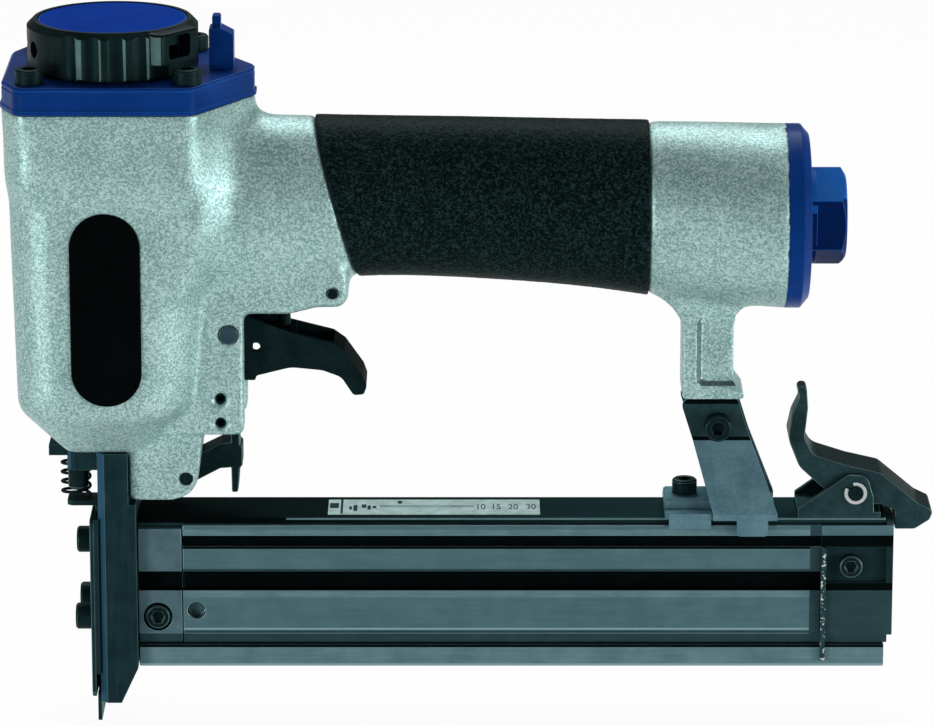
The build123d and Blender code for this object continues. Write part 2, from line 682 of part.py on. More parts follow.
def head_casting():
    """Cylinder housing: drafted barrel on a sloped foot, under a pointed collar."""
    cut = HEAD_FOOT_CUT
    shoulder = head_section(
        HEAD_SHOULDER_Z,
        HEAD_FRONT_LOW_X,
        HEAD_REAR_LOW_X,
        HEAD_HALF_WIDTH,
        HEAD_CORNER_R,
        HEAD_REAR_CORNER_R,
    )
    foot = head_section(
        HEAD_BOTTOM_Z,
        HEAD_FRONT_LOW_X + HEAD_FOOT_FRONT_CUT,
        HEAD_REAR_LOW_X - cut,
        HEAD_HALF_WIDTH - cut,
        HEAD_FOOT_CORNER_R,
        HEAD_REAR_CORNER_R - cut,
    )
    top = head_section(
        COLLAR_BOTTOM_Z + 1,
        HEAD_FRONT_X,
        HEAD_REAR_X,
        HEAD_HALF_WIDTH,
        HEAD_CORNER_R,
        HEAD_COLLAR_CORNER_R,
    )
    barrel = loft([foot, shoulder, top], ruled=True)
    crease = barrel.edges().filter_by_position(Axis.Z, HEAD_SHOULDER_Z - FIT, HEAD_SHOULDER_Z + FIT)
    barrel = fillet(crease, HEAD_SHOULDER_R)
    barrel = fillet(barrel.faces().sort_by(Axis.Z)[0].edges(), HEAD_FOOT_EDGE_R)
    collar = slab(cap_plan(COLLAR_INSET), COLLAR_BOTTOM_Z, HEAD_TOP_Z)
    collar = chamfer(collar.faces().sort_by(Axis.Z)[0].edges(), 1.1)
    return barrel + collar


def valve_boss():
    """Underside of the neck that holds the trigger valve."""
    face = outline_from(
        BOSS_REAR_X,
        BOSS_BOTTOM_Z,
        (-43.6, 19.2),
        (-3.6, 19.2),
        (0, 10.7, 2),
        (-0.4, BOSS_RISE, 3.2),
        (-8.1, BOSS_RISE, 3),
        (-15.2, 0, 4),
        (-43.6, 0),
    )
    body = side_plate(face, -CHEEK_HALF_WIDTH, CHEEK_HALF_WIDTH)
    return fillet(body.faces().sort_by(Axis.Z)[0].edges().filter_by(Axis.X), 2.5)


def trigger_cheeks():
    """Web behind the barrel that carries the trigger, and the lug below it."""
    web = block(
        (SLOT_FRONT_X - 14, -CHEEK_HALF_WIDTH, CHEEK_BOTTOM_Z),
        (CHEEK_REAR_X, CHEEK_HALF_WIDTH, BOSS_BOTTOM_Z + 1),
    )
    web = fillet(web.faces().sort_by(Axis.X)[-1].edges().sort_by(Axis.Z)[0], 2)
    lug = outline_from(
        LUG_REAR_X,
        LUG_BOTTOM_Z,
        (-LUG_LENGTH, LUG_HEIGHT + 8),
        (-LUG_LENGTH, 0, 0.8),
        (0, 0, 7),
        (1.8, LUG_HEIGHT, 1.5),
        (2.4, LUG_HEIGHT + 8),
    )
    return web + side_plate(lug, -LUG_HALF_WIDTH, LUG_HALF_WIDTH)


def strut():
    """Strut under the handle's rear, with a shallow pocket and a tongue for the bracket."""
    face = outline(
        (STRUT_FRONT_X - 14.3, STRUT_TOP_Z + 15),
        (STRUT_FRONT_X - 5.8, STRUT_TOP_Z + 3.6, 6),
        (STRUT_FRONT_X, STRUT_TOP_Z - 1, 9),
        (STRUT_FRONT_X, STRUT_BOTTOM_Z, 1),
        (STRUT_TOE_X, STRUT_BOTTOM_Z, 0.8),
        (STRUT_TOE_X, STRUT_BOTTOM_Z + STRUT_TOE_HEIGHT, 0.8),
        (STRUT_REAR_X, STRUT_BOTTOM_Z + STRUT_TOE_HEIGHT + 3.2, 1.5),
        (STRUT_REAR_X, STRUT_TOP_Z + 0.5, 4),
        (STRUT_REAR_X + 9.3, STRUT_TOP_Z + 3.5),
        (STRUT_REAR_X + 9.3, STRUT_TOP_Z + 15),
    )
    body = side_plate(face, -STRUT_HALF_WIDTH, STRUT_HALF_WIDTH)
    pocket = outline(
        (STRUT_FRONT_X + 4, STRUT_BOTTOM_Z + STRUT_TOE_HEIGHT, 1.5),
        (STRUT_REAR_X + 2, STRUT_BOTTOM_Z + STRUT_TOE_HEIGHT),
        (STRUT_REAR_X + 2, STRUT_TOP_Z - 0.6),
        (STRUT_FRONT_X + 4, STRUT_TOP_Z - 0.6, 3),
    )
    floor = STRUT_HALF_WIDTH - STRUT_POCKET_DEPTH
    body -= both_sides(side_plate(pocket, -STRUT_HALF_WIDTH - 1, -floor))
    tongue = outline(
        (STRUT_FRONT_X + 2.7, STRUT_BOTTOM_Z + 2),
        (STRUT_FRONT_X + 5.9, TONGUE_BOTTOM_Z, 3),
        (STRUT_FRONT_X + 16.1, TONGUE_BOTTOM_Z, 3),
        (STRUT_FRONT_X + 13.1, STRUT_BOTTOM_Z + 2),
    )
    return body + side_plate(tongue, -TONGUE_HALF_WIDTH, TONGUE_HALF_WIDTH)


def housing_cuts():
    """Everything that is bored or milled out of the casting."""
    cuts = rod_z(0, 0, LINER_R + FIT, FLOOR_Z, HEAD_TOP_Z + 1)
    cuts += rod_z(0, 0, CAVITY_R, FLOOR_Z + LINER_SEAT_DEPTH, HEAD_TOP_Z + 1)
    cuts += rod_z(0, 0, DRIVER_HOLE_R, HEAD_BOTTOM_Z - 1, FLOOR_Z + 1)
    cuts += handle_form(-AIR_WALL, 1)
    cuts += rod_x(0, INLET_Z, SPIGOT_R + FIT, HANDLE_REAR_X - SPIGOT_LENGTH - 1, HANDLE_REAR_X + 1)
    for x in (-CAP_BOLT_X, CAP_BOLT_X):
        for y in (-CAP_BOLT_Y, CAP_BOLT_Y):
            cuts += rod_z(x, y, CAP_BOLT_R + FIT, HEAD_TOP_Z - CAP_BOLT_DEPTH, HEAD_TOP_Z + 1)
    cuts += block(
        (SLOT_FRONT_X, -SLOT_HALF_WIDTH, CHEEK_BOTTOM_Z - 8),
        (CHEEK_REAR_X + 8, SLOT_HALF_WIDTH, BOSS_BOTTOM_Z),
    )
    lever_slot = outline_from(
        SAFETY_PIVOT_X,
        SAFETY_PIVOT_Z,
        (-4.9, -SAFETY_PIVOT_RISE - 2),
        (-4.9, 3.8),
        (1.5, 6.0),
        (6.9, 10.9),
        (22.7, 10.9),
        (22.7, -SAFETY_PIVOT_RISE - 2),
    )
    slot = SAFETY_HALF_WIDTH + SLIDE_GAP
    cuts += side_plate(lever_slot, -slot, slot)
    cuts += rod_z(VALVE_X, 0, VALVE_BODY_R + FIT, BOSS_BOTTOM_Z - 2, BOSS_BOTTOM_Z + VALVE_BODY_HEIGHT)
    reach = CAP_HALF_WIDTH
    cuts += rod_y(TRIGGER_PIVOT_X, TRIGGER_PIVOT_Z, TRIGGER_PIN_R + FIT, -reach, reach)
    cuts += rod_y(RETAINING_PIN_X, RETAINING_PIN_Z, RETAINING_PIN_R + FIT, -reach, reach)
    cuts += rod_y(SAFETY_PIVOT_X, SAFETY_PIVOT_Z, SAFETY_PIN_R + FIT, -reach, reach)
    for height in GUIDE_PIN_HEIGHTS:
        cuts += rod_y(GUIDE_PIN_X, height, GUIDE_PIN_R + FIT, -reach, reach)
    for y in (-FLANGE_BOLT_Y, FLANGE_BOLT_Y):
        top = HEAD_BOTTOM_Z + FLANGE_BOLT_DEPTH
        cuts += rod_z(FLANGE_BOLT_X, y, FLANGE_BOLT_R + FIT, HEAD_BOTTOM_Z - 1, top)
    cuts += rod_y(BRACKET_BOLT_X, BRACKET_BOLT_Z, BRACKET_BOLT_R + FIT, -reach, reach)
    cuts += badge_form(BADGE_RECESS, FIT)
    return cuts


def housing():
    """Head, neck, handle core, rear bell and strut in one casting."""
    handle = handle_form(0)
    grip_space = handle_form(GRIP_PROUD + 3) & grip_zone()
    handle -= grip_space - handle_form(-GRIP_WALL)
    body = head_casting() + handle + valve_boss() + trigger_cheeks() + strut()
    return body - housing_cuts()


def badge_form(depth, grow):
    """Stadium sunk by a depth into the near side of the head."""
    half_straight = (BADGE_HEIGHT - BADGE_WIDTH) / 2
    radius = BADGE_WIDTH / 2 + grow
    face = Pos(BADGE_X, BADGE_Z) * SlotOverall(2 * (half_straight + radius), 2 * radius, rotation=90)
    inner = -HEAD_HALF_WIDTH + depth
    return side_plate(face, inner - BADGE_THICKNESS, inner)


# Handle fittings

def handle_grip():
    """Rubber sleeve over the handle core."""
    sleeve = handle_form(GRIP_PROUD) & grip_zone()
    return sleeve - handle_form(-GRIP_WALL + RUNNING_FIT)


def end_cap():
    """Blue cap that closes the rear of the handle."""
    profile = outline(
        (-SPIGOT_LENGTH, INLET_STUD_R + FIT),
        (-SPIGOT_LENGTH, SPIGOT_R - 0.6),
        (-SPIGOT_LENGTH + 0.6, SPIGOT_R),
        (-6.0, SPIGOT_R),
        (-6.0, SPIGOT_R - RING_R),
        (-6.0 + 2 * RING_R, SPIGOT_R - RING_R),
        (-6.0 + 2 * RING_R, SPIGOT_R),
        (0, SPIGOT_R),
        (0, END_CAP_R),
        (END_CAP_RIM, END_CAP_R, 0.6),
        (END_CAP_RIM + END_CAP_FACE, END_CAP_FACE_R, 0.6),
        (END_CAP_RIM + END_CAP_FACE, INLET_STUD_R + FIT),
    )
    body = revolve(Plane.XZ * profile, Axis.X)
    return Pos(HANDLE_REAR_X, 0, INLET_Z) * body


def end_cap_seal():
    """Rubber ring in the groove of the end cap."""
    low = HANDLE_REAR_X - 6.0 + SEAT_GAP
    high = HANDLE_REAR_X - 6.0 + 2 * RING_R - SEAT_GAP
    outer = rod_x(0, INLET_Z, SPIGOT_R, low, high)
    return outer - rod_x(0, INLET_Z, SPIGOT_R - RING_R + FIT, low - 1, high + 1)


def inlet_fitting():
    """Hexagonal bush with the threaded air inlet."""
    hexagon = RegularPolygon(INLET_FLATS / math.sqrt(3), 6, rotation=30)
    nut = bar_along_x(hexagon, 0, INLET_HEX_LENGTH)
    corner_r = INLET_FLATS / math.sqrt(3)
    dome = outline(
        (0, 0),
        (0, corner_r + 1),
        (INLET_HEX_LENGTH - INLET_HEX_CHAMFER, corner_r + 0.05),
        (INLET_HEX_LENGTH, INLET_FLATS / 2 - 0.6),
        (INLET_HEX_LENGTH, 0),
    )
    nut &= revolve(Plane.XZ * dome, Axis.X)
    nut += rod_x(0, 0, INLET_COLLAR_R, 0, INLET_COLLAR)
    nut += rod_x(0, 0, INLET_STUD_R, -INLET_STUD_LENGTH, 0.5)
    nut -= rod_x(0, 0, INLET_THREAD_R, INLET_HEX_LENGTH - INLET_THREAD_LENGTH, INLET_HEX_LENGTH + 1)
    nut -= rod_x(0, 0, INLET_BORE_R, -INLET_STUD_LENGTH - 1, INLET_HEX_LENGTH)
    return Pos(INLET_FACE_X, 0, INLET_Z) * nut


def badge_plate():
    """Bare oval plate on the near side of the head."""
    return badge_form(BADGE_RECESS - FIT, 0)


# Head: cap, exhaust, cylinder and valve

def cylinder_cap():
    """Cap of the cylinder, with a raised post at the rear and an exhaust boss in the middle."""
    plate = slab(cap_plan(CAP_LIP), CAP_BOTTOM_Z, CAP_TOP_Z)
    plate = chamfer(plate.faces().sort_by(Axis.Z)[-1].edges(), 0.6)
    groove_z = CAP_TOP_Z - CAP_GROOVE_DROP
    groove = slab(cap_plan(0), groove_z, groove_z + CAP_GROOVE_HEIGHT)
    plate -= groove - slab(cap_plan(CAP_LIP + CAP_GROOVE_DEPTH), groove_z - 1, CAP_TOP_Z)
    plate += slab(cap_plan(0), CAP_BOTTOM_Z, CAP_BOTTOM_Z + CAP_LIP_HEIGHT)
    post_top = CAP_TOP_Z + POST_HEIGHT
    rear = POST_FRONT_X + POST_WIDTH
    post = outline(
        (POST_FRONT_X, CAP_TOP_Z - 1),
        (POST_FRONT_X, post_top, 0.5),
        (POST_FRONT_X + 3, post_top + 0.2),
        (rear, post_top - 1.5, 0.5),
        (rear, CAP_TOP_Z - 1),
    )
    nub = outline(
        (POST_FRONT_X + 0.8, post_top - 1),
        (POST_FRONT_X + 0.8, post_top + NUB_HEIGHT, 0.6),
        (POST_FRONT_X + 0.8 + NUB_WIDTH, post_top + NUB_HEIGHT, 0.6),
        (POST_FRONT_X + 0.8 + NUB_WIDTH, post_top - 1),
    )
    body = plate + side_plate(post, -POST_HALF_DEPTH, POST_HALF_DEPTH)
    body += side_plate(nub, -NUB_HALF_DEPTH, NUB_HALF_DEPTH)
    body += rod_z(0, 0, CAP_BOSS_R, CAP_TOP_Z - 1, CAP_BOSS_TOP_Z)
    pocket_top = HEAD_VALVE_Z + HEAD_VALVE_PLATE + HEAD_VALVE_STEM + HEAD_VALVE_LIFT + 1
    body -= rod_z(0, 0, HEAD_VALVE_STEM_R + RUNNING_FIT, CAP_BOTTOM_Z - 1, pocket_top)
    bolt_floor = CAP_BOSS_TOP_Z - DEFLECTOR_BOLT_LENGTH
    body -= rod_z(0, 0, DEFLECTOR_BOLT_R + FIT, bolt_floor, CAP_BOSS_TOP_Z + 1)
    for x in (-CAP_BOLT_X, CAP_BOLT_X):
        for y in (-CAP_BOLT_Y, CAP_BOLT_Y):
            body -= rod_z(x, y, CAP_BOLT_R + FIT, CAP_BOTTOM_Z - 1, CAP_TOP_Z + 1)
    return body


def cap_gasket():
    """Thin gasket between head and cap."""
    body = slab(cap_plan(COLLAR_INSET + 0.6), HEAD_TOP_Z, CAP_BOTTOM_Z)
    body -= rod_z(0, 0, CAVITY_R, HEAD_TOP_Z - 1, CAP_BOTTOM_Z + 1)
    for x in (-CAP_BOLT_X, CAP_BOLT_X):
        for y in (-CAP_BOLT_Y, CAP_BOLT_Y):
            body -= rod_z(x, y, CAP_BOLT_R + FIT, HEAD_TOP_Z - 1, CAP_BOTTOM_Z + 1)
    return body


def cap_bolts():
    """Four socket screws that hold the cap."""
    shank = CAP_TOP_Z - HEAD_TOP_Z + CAP_BOLT_DEPTH - 0.5
    one = screw(CAP_BOLT_HEAD_R, CAP_BOLT_HEAD, CAP_BOLT_R, shank)
    places = [(x, y) for x in (-CAP_BOLT_X, CAP_BOLT_X) for y in (-CAP_BOLT_Y, CAP_BOLT_Y)]
    return Compound([Pos(x, y, CAP_TOP_Z) * one for x, y in places])


def exhaust_hood():
    """Outlet that stands out of the deflector on +X, with a window in its front."""
    root = DISC_R + 3 * SEAT_GAP
    plan = outline(
        (root, -HOOD_HALF_WIDTH),
        (HOOD_FRONT_R, -HOOD_HALF_WIDTH, HOOD_CORNER_R),
        (HOOD_FRONT_R, HOOD_HALF_WIDTH, HOOD_CORNER_R),
        (root, HOOD_HALF_WIDTH),
    )
    hood = slab(plan, HOOD_BOTTOM_Z, HOOD_TOP_Z)
    top_edges = hood.faces().sort_by(Axis.Z)[-1].edges()
    return fillet(top_edges.sort_by(Axis.X)[1:], 1.0)


def exhaust_window():
    """Pocket in the hood's front, with a port into the ring at its foot."""
    low = HOOD_BOTTOM_Z + WINDOW_BORDER
    pocket = outline(
        (-WINDOW_HALF_WIDTH, low, 1),
        (WINDOW_HALF_WIDTH, low, 1),
        (WINDOW_HALF_WIDTH, HOOD_TOP_Z - WINDOW_BORDER, 1),
        (-WINDOW_HALF_WIDTH, HOOD_TOP_Z - WINDOW_BORDER, 1),
    )
    cut = bar_along_x(pocket, HOOD_FRONT_R - WINDOW_DEPTH, HOOD_FRONT_R + 1)
    port_half = WINDOW_HALF_WIDTH - 1
    return cut + block(
        (DEFLECTOR_R - DEFLECTOR_WALL - 2, -port_half, low),
        (HOOD_FRONT_R - 1, port_half, DEFLECTOR_PLATE_Z - 0.4),
    )


def exhaust_deflector():
    """Fluted ring that turns on the cap and aims the exhaust through its hood."""
    inner = DEFLECTOR_R - DEFLECTOR_WALL
    body = turned(
        (inner, DEFLECTOR_BOTTOM_Z),
        (DEFLECTOR_R - 0.4, DEFLECTOR_BOTTOM_Z),
        (DEFLECTOR_R, DEFLECTOR_BOTTOM_Z + 0.6),
        (DEFLECTOR_R, RIM_TOP_Z - DEFLECTOR_BEVEL),
        (DEFLECTOR_R - DEFLECTOR_BEVEL, RIM_TOP_Z),
        (DISC_R + SEAT_GAP, RIM_TOP_Z),
        (DISC_R + SEAT_GAP, DEFLECTOR_TOP_Z),
        (DEFLECTOR_BOLT_R + RUNNING_FIT, DEFLECTOR_TOP_Z),
        (DEFLECTOR_BOLT_R + RUNNING_FIT, DEFLECTOR_PLATE_Z),
        (inner, DEFLECTOR_PLATE_Z),
    )
    flute_x = DEFLECTOR_R - FLUTE_DEPTH + FLUTE_R
    flute = rod_z(flute_x, 0, FLUTE_R, DEFLECTOR_BOTTOM_Z - 1, RIM_TOP_Z - 0.6 * DEFLECTOR_BEVEL)
    for number in range(FLUTE_COUNT):
        angle = (FLUTE_FIRST + 360 / FLUTE_COUNT * number) % 360
        if not any(low < angle < high for low, high in PLAIN_SECTORS):
            body -= Rot(0, 0, angle) * flute
    hole_z = DEFLECTOR_PLATE_Z - EXHAUST_HOLE_DROP
    for angle in EXHAUST_HOLE_ANGLES:
        body -= Rot(0, 0, angle) * rod_x(0, hole_z, EXHAUST_HOLE_R, inner - 1, DEFLECTOR_R + 1)
    body += Rot(0, 0, HOOD_ANGLE) * exhaust_hood()
    return body - Rot(0, 0, HOOD_ANGLE) * exhaust_window()


def deflector_disc():
    """Blue cover disc in the top of the deflector."""
    top = DISC_Z + DISC_THICKNESS
    body = turned((0, DISC_Z), (DISC_R, DISC_Z), (DISC_R, top - 0.3), (DISC_R - 0.3, top), (0, top))
    pocket_top = DEFLECTOR_TOP_Z + DEFLECTOR_BOLT_HEAD + SEAT_GAP
    return body - rod_z(0, 0, DEFLECTOR_BOLT_HEAD_R + SLIDE_GAP, DISC_Z - 1, pocket_top)


def deflector_bolt():
    """Flat screw that keeps the deflector on the cap."""
    low = CAP_BOSS_TOP_Z - DEFLECTOR_BOLT_LENGTH + 0.3
    high = DEFLECTOR_TOP_Z + RUNNING_FIT
    body = rod_z(0, 0, DEFLECTOR_BOLT_R, low, high)
    return body + rod_z(0, 0, DEFLECTOR_BOLT_HEAD_R, high, DEFLECTOR_TOP_Z + DEFLECTOR_BOLT_HEAD)


def cylinder_liner():
    """Tube that the piston runs in, with a seal groove at its foot and return ports."""
    body = ring_z(BORE_R, LINER_R, FLOOR_Z, LINER_TOP_Z)
    groove_z = FLOOR_Z + LINER_SEAT_DEPTH / 2
    body -= ring_z(LINER_R - RING_R, LINER_R + 1, groove_z - RING_R, groove_z + RING_R)
    port_z = FLOOR_Z + BUMPER_HEIGHT + 3
    for number in range(6):
        body -= Rot(0, 0, 60 * number) * rod_x(0, port_z, 1.2, BORE_R - 1, LINER_R + 1)
    return body


def liner_seal():
    """Rubber ring at the foot of the liner."""
    middle = FLOOR_Z + LINER_SEAT_DEPTH / 2
    half = RING_R - SEAT_GAP
    return ring_z(LINER_R - RING_R + FIT, LINER_R, middle - half, middle + half)


def piston():
    """Piston with a ring groove, a hollow top and a stem for the driver."""
    outer = BORE_R - RUNNING_FIT
    groove_z = PISTON_BOTTOM_Z + PISTON_HEIGHT * 0.6
    body = turned(
        (0, PISTON_BOTTOM_Z),
        (6.0, PISTON_BOTTOM_Z),
        (6.0, PISTON_BOTTOM_Z + 4),
        (outer - 1, PISTON_BOTTOM_Z + 4),
        (outer, PISTON_BOTTOM_Z + 5),
        (outer, groove_z - RING_R),
        (outer - 2 * RING_R, groove_z - RING_R),
        (outer - 2 * RING_R, groove_z + RING_R),
        (outer, groove_z + RING_R),
        (outer, PISTON_TOP_Z),
        (outer - 3, PISTON_TOP_Z),
        (outer - 4, PISTON_TOP_Z - 2.4),
        (0, PISTON_TOP_Z - 2.4),
    )
    root = PISTON_BOTTOM_Z + DRIVER_ROOT
    half_x = DRIVER_X / 2 + FIT
    half_y = DRIVER_Y / 2 + FIT
    body -= block((-half_x, -half_y, PISTON_BOTTOM_Z - 1), (half_x, half_y, root))
    return body - rod_x(0, PISTON_BOTTOM_Z + 2, DRIVER_PIN_R + FIT, -10, 10)


def piston_ring():
    """Rubber ring of the piston."""
    outer = BORE_R - RUNNING_FIT
    middle = PISTON_BOTTOM_Z + PISTON_HEIGHT * 0.6
    half = RING_R - SEAT_GAP
    return ring_z(outer - 2 * RING_R + FIT, outer, middle - half, middle + half)


def driver_blade():
    """Flat blade that drives the nail."""
    low = (-DRIVER_X / 2, -DRIVER_Y / 2, DRIVER_TIP_Z)
    high = (DRIVER_X / 2, DRIVER_Y / 2, PISTON_BOTTOM_Z + DRIVER_ROOT - SEAT_GAP)
    return block(low, high) - rod_x(0, PISTON_BOTTOM_Z + 2, DRIVER_PIN_R + FIT, -10, 10)


def driver_pin():
    """Cross pin that holds the blade in the piston."""
    return rod_x(0, PISTON_BOTTOM_Z + 2, DRIVER_PIN_R, -5.9, 5.9)


def bumper():
    """Rubber buffer at the foot of the cylinder."""
    top = FLOOR_Z + BUMPER_HEIGHT
    outer = BORE_R - SEAT_GAP
    return turned(
        (DRIVER_HOLE_R, FLOOR_Z),
        (outer, FLOOR_Z),
        (outer, top - 3),
        (outer - 3, top),
        (8.0, top),
        (DRIVER_HOLE_R, top - 2),
    )


def head_valve():
    """Valve plate that closes the top of the liner, with its guide stem."""
    plate_top = HEAD_VALVE_Z + HEAD_VALVE_PLATE
    stem_top = plate_top + HEAD_VALVE_STEM
    return turned(
        (0, HEAD_VALVE_Z),
        (HEAD_VALVE_R - 0.8, HEAD_VALVE_Z),
        (HEAD_VALVE_R, HEAD_VALVE_Z + 0.8),
        (HEAD_VALVE_R, plate_top),
        (HEAD_VALVE_STEM_R, plate_top),
        (HEAD_VALVE_STEM_R, stem_top),
        (5.0, stem_top),
        (5.0, plate_top),
        (0, plate_top),
    )


def head_valve_spring():
    """Spring between head valve and cap."""
    low = HEAD_VALVE_Z + HEAD_VALVE_PLATE + SEAT_GAP
    height = CAP_BOTTOM_Z - SEAT_GAP - low
    return Pos(0, 0, low) * coil("head_valve_spring", HEAD_VALVE_STEM_R + 2.2, 1.4, 3, height)


# Trigger group

def trigger():
    """Finger lever with side walls, a floor and a bridge under the valve stem."""
    outer = outline_from(
        TRIGGER_PIVOT_X,
        TRIGGER_PIVOT_Z,
        (-4.0, 1.8, 2.5),
        (-1.9, 4.4, 2.5),
        (4.3, 3.1, 3),
        (15.4, -1.1),
        (26.3, -3.9, 2),
        (29.3, -6.1, 2),
        (33.9, -12.7, 3),
        (34.9, -15.5, 1.5),
        (34.1, -17.5, 0.9),
        (31.5, -17.7, 1.2),
        (28.4, -12.9, 4),
        (23.6, -11.1, 6),
        (15.6, -10.3, 8),
        (6.8, -12.5, 0.8),
        (6.4, -13.7, 0.5),
        (3.7, -13.7, 0.8),
        (-3.7, -3.8, 3),
    )
    inner = outline_from(
        TRIGGER_PIVOT_X,
        TRIGGER_PIVOT_Z,
        (4.1, 6.2),
        (27.6, 2.2),
        (26.1, -6.1, 1),
        (28.3, -9.1, 1),
        (16.1, -8.1, 2),
        (7.6, -10.1, 1),
        (4.1, -6.7),
    )
    body = side_plate(outer, -TRIGGER_HALF_WIDTH, TRIGGER_HALF_WIDTH)
    wall = TRIGGER_HALF_WIDTH - TRIGGER_WALL
    body -= side_plate(inner, -wall, wall)
    body += block(
        (VALVE_X - 3, -wall - 0.5, TRIGGER_PIVOT_Z - 8.7),
        (VALVE_X + 3, wall + 0.5, VALVE_STEM_FOOT_Z - 0.8),
    )
    body -= rod_y(TRIGGER_PIVOT_X, TRIGGER_PIVOT_Z, TRIGGER_PIN_R + RUNNING_FIT, -20, 20)
    hole_x = TRIGGER_PIVOT_X + 6.7
    hole_z = TRIGGER_PIVOT_Z - 4.9
    body -= rod_y(hole_x, hole_z, TRIGGER_HOLE_R, -20, 0)
    far_slot = Pos(hole_x, hole_z - 3) * SlotOverall(5.6, 2.6, rotation=90)
    return body - side_plate(far_slot, 0, 20)


def trigger_pin():
    return rod_y(TRIGGER_PIVOT_X, TRIGGER_PIVOT_Z, TRIGGER_PIN_R, -CHEEK_HALF_WIDTH, CHEEK_HALF_WIDTH)


def trigger_valve_body():
    """Brass valve body pressed up into the neck."""
    top = BOSS_BOTTOM_Z + VALVE_BODY_HEIGHT - SEAT_GAP
    low = BOSS_BOTTOM_Z - VALVE_BODY_PROUD
    body = rod_z(VALVE_X, 0, VALVE_BODY_R, low, top)
    body -= rod_z(VALVE_X, 0, VALVE_STEM_R + RUNNING_FIT, low - 1, top + 1)
    return body - rod_z(VALVE_X, 0, VALVE_STEM_HEAD_R + SLIDE_GAP, BOSS_BOTTOM_Z + 3, top - 2)


def valve_stem():
    """Stem that the trigger lifts."""
    body = rod_z(VALVE_X, 0, VALVE_STEM_R, VALVE_STEM_FOOT_Z, BOSS_BOTTOM_Z + VALVE_BODY_HEIGHT - 4)
    collar_z = BOSS_BOTTOM_Z + 3 + SLIDE_GAP
    return body + rod_z(VALVE_X, 0, VALVE_STEM_HEAD_R, collar_z, collar_z + 2)


def valve_spring():
    """Spring above the collar of the valve stem."""
    low = BOSS_BOTTOM_Z + 5 + SLIDE_GAP + SEAT_GAP
    high = BOSS_BOTTOM_Z + VALVE_BODY_HEIGHT - 2 - 2 * SEAT_GAP
    return Pos(VALVE_X, 0, low) * coil("valve_spring", 2.5, 0.7, 5, high - low)


def retaining_pin():
    """Pin across the valve boss."""
    half = CHEEK_HALF_WIDTH
    return rod_y(RETAINING_PIN_X, RETAINING_PIN_Z, RETAINING_PIN_R, -half, half)


def guide_pins():
    """Two hollow spring pins, sunk across the cheeks."""
    pins = []
    half = CHEEK_HALF_WIDTH - GUIDE_PIN_RECESS
    for height in GUIDE_PIN_HEIGHTS:
        pin = rod_y(GUIDE_PIN_X, height, GUIDE_PIN_R, -half, half)
        pins.append(pin - rod_y(GUIDE_PIN_X, height, GUIDE_PIN_BORE_R, -20, 20))
    return Compound(pins)


def safety_lever():
    """Lever under the trigger, with an upright bar at its rear."""
    face = outline_from(
        SAFETY_PIVOT_X,
        SAFETY_PIVOT_Z,
        (-3.3, 0, 1.5),
        (-1.5, 3.2, 2),
        (3.3, 5.0),
        (8.9, 7.8, 1.5),
        (11.3, 8.0),
        (11.3, 12.6, 0.6),
        (13.5, 12.6, 0.6),
        (13.5, 7.4),
        (14.2, 6.7, 0.6),
        (14.2, 1.8, 0.6),
        (13.5, 1.0),
        (13.0, -5.4, 0.6),
        (11.4, -5.4, 0.5),
        (11.3, 1.2),
        (8.5, 1.0, 2),
        (2.5, -2.2, 2),
        (-1.9, -3.4, 1.5),
    )
    body = side_plate(face, -SAFETY_HALF_WIDTH, SAFETY_HALF_WIDTH)
    body -= rod_y(SAFETY_PIVOT_X, SAFETY_PIVOT_Z, SAFETY_PIN_R + RUNNING_FIT, -20, 20)
    relief = SAFETY_RELIEF_HALF_WIDTH
    return body - rod_y(SAFETY_PIVOT_X, SAFETY_PIVOT_Z, SAFETY_RELIEF_R, -relief, relief)


def safety_pin():
    return rod_y(SAFETY_PIVOT_X, SAFETY_PIVOT_Z, SAFETY_PIN_R, -LUG_HALF_WIDTH, LUG_HALF_WIDTH)


def safety_spring():
    """Torsion spring round the safety pin."""
    turns = coil("safety_spring", 2.3, 0.6, 2.5, 3.2)
    return Pos(SAFETY_PIVOT_X, 1.6, SAFETY_PIVOT_Z) * Rot(90, 0, 0) * turns


# Nose and contact foot

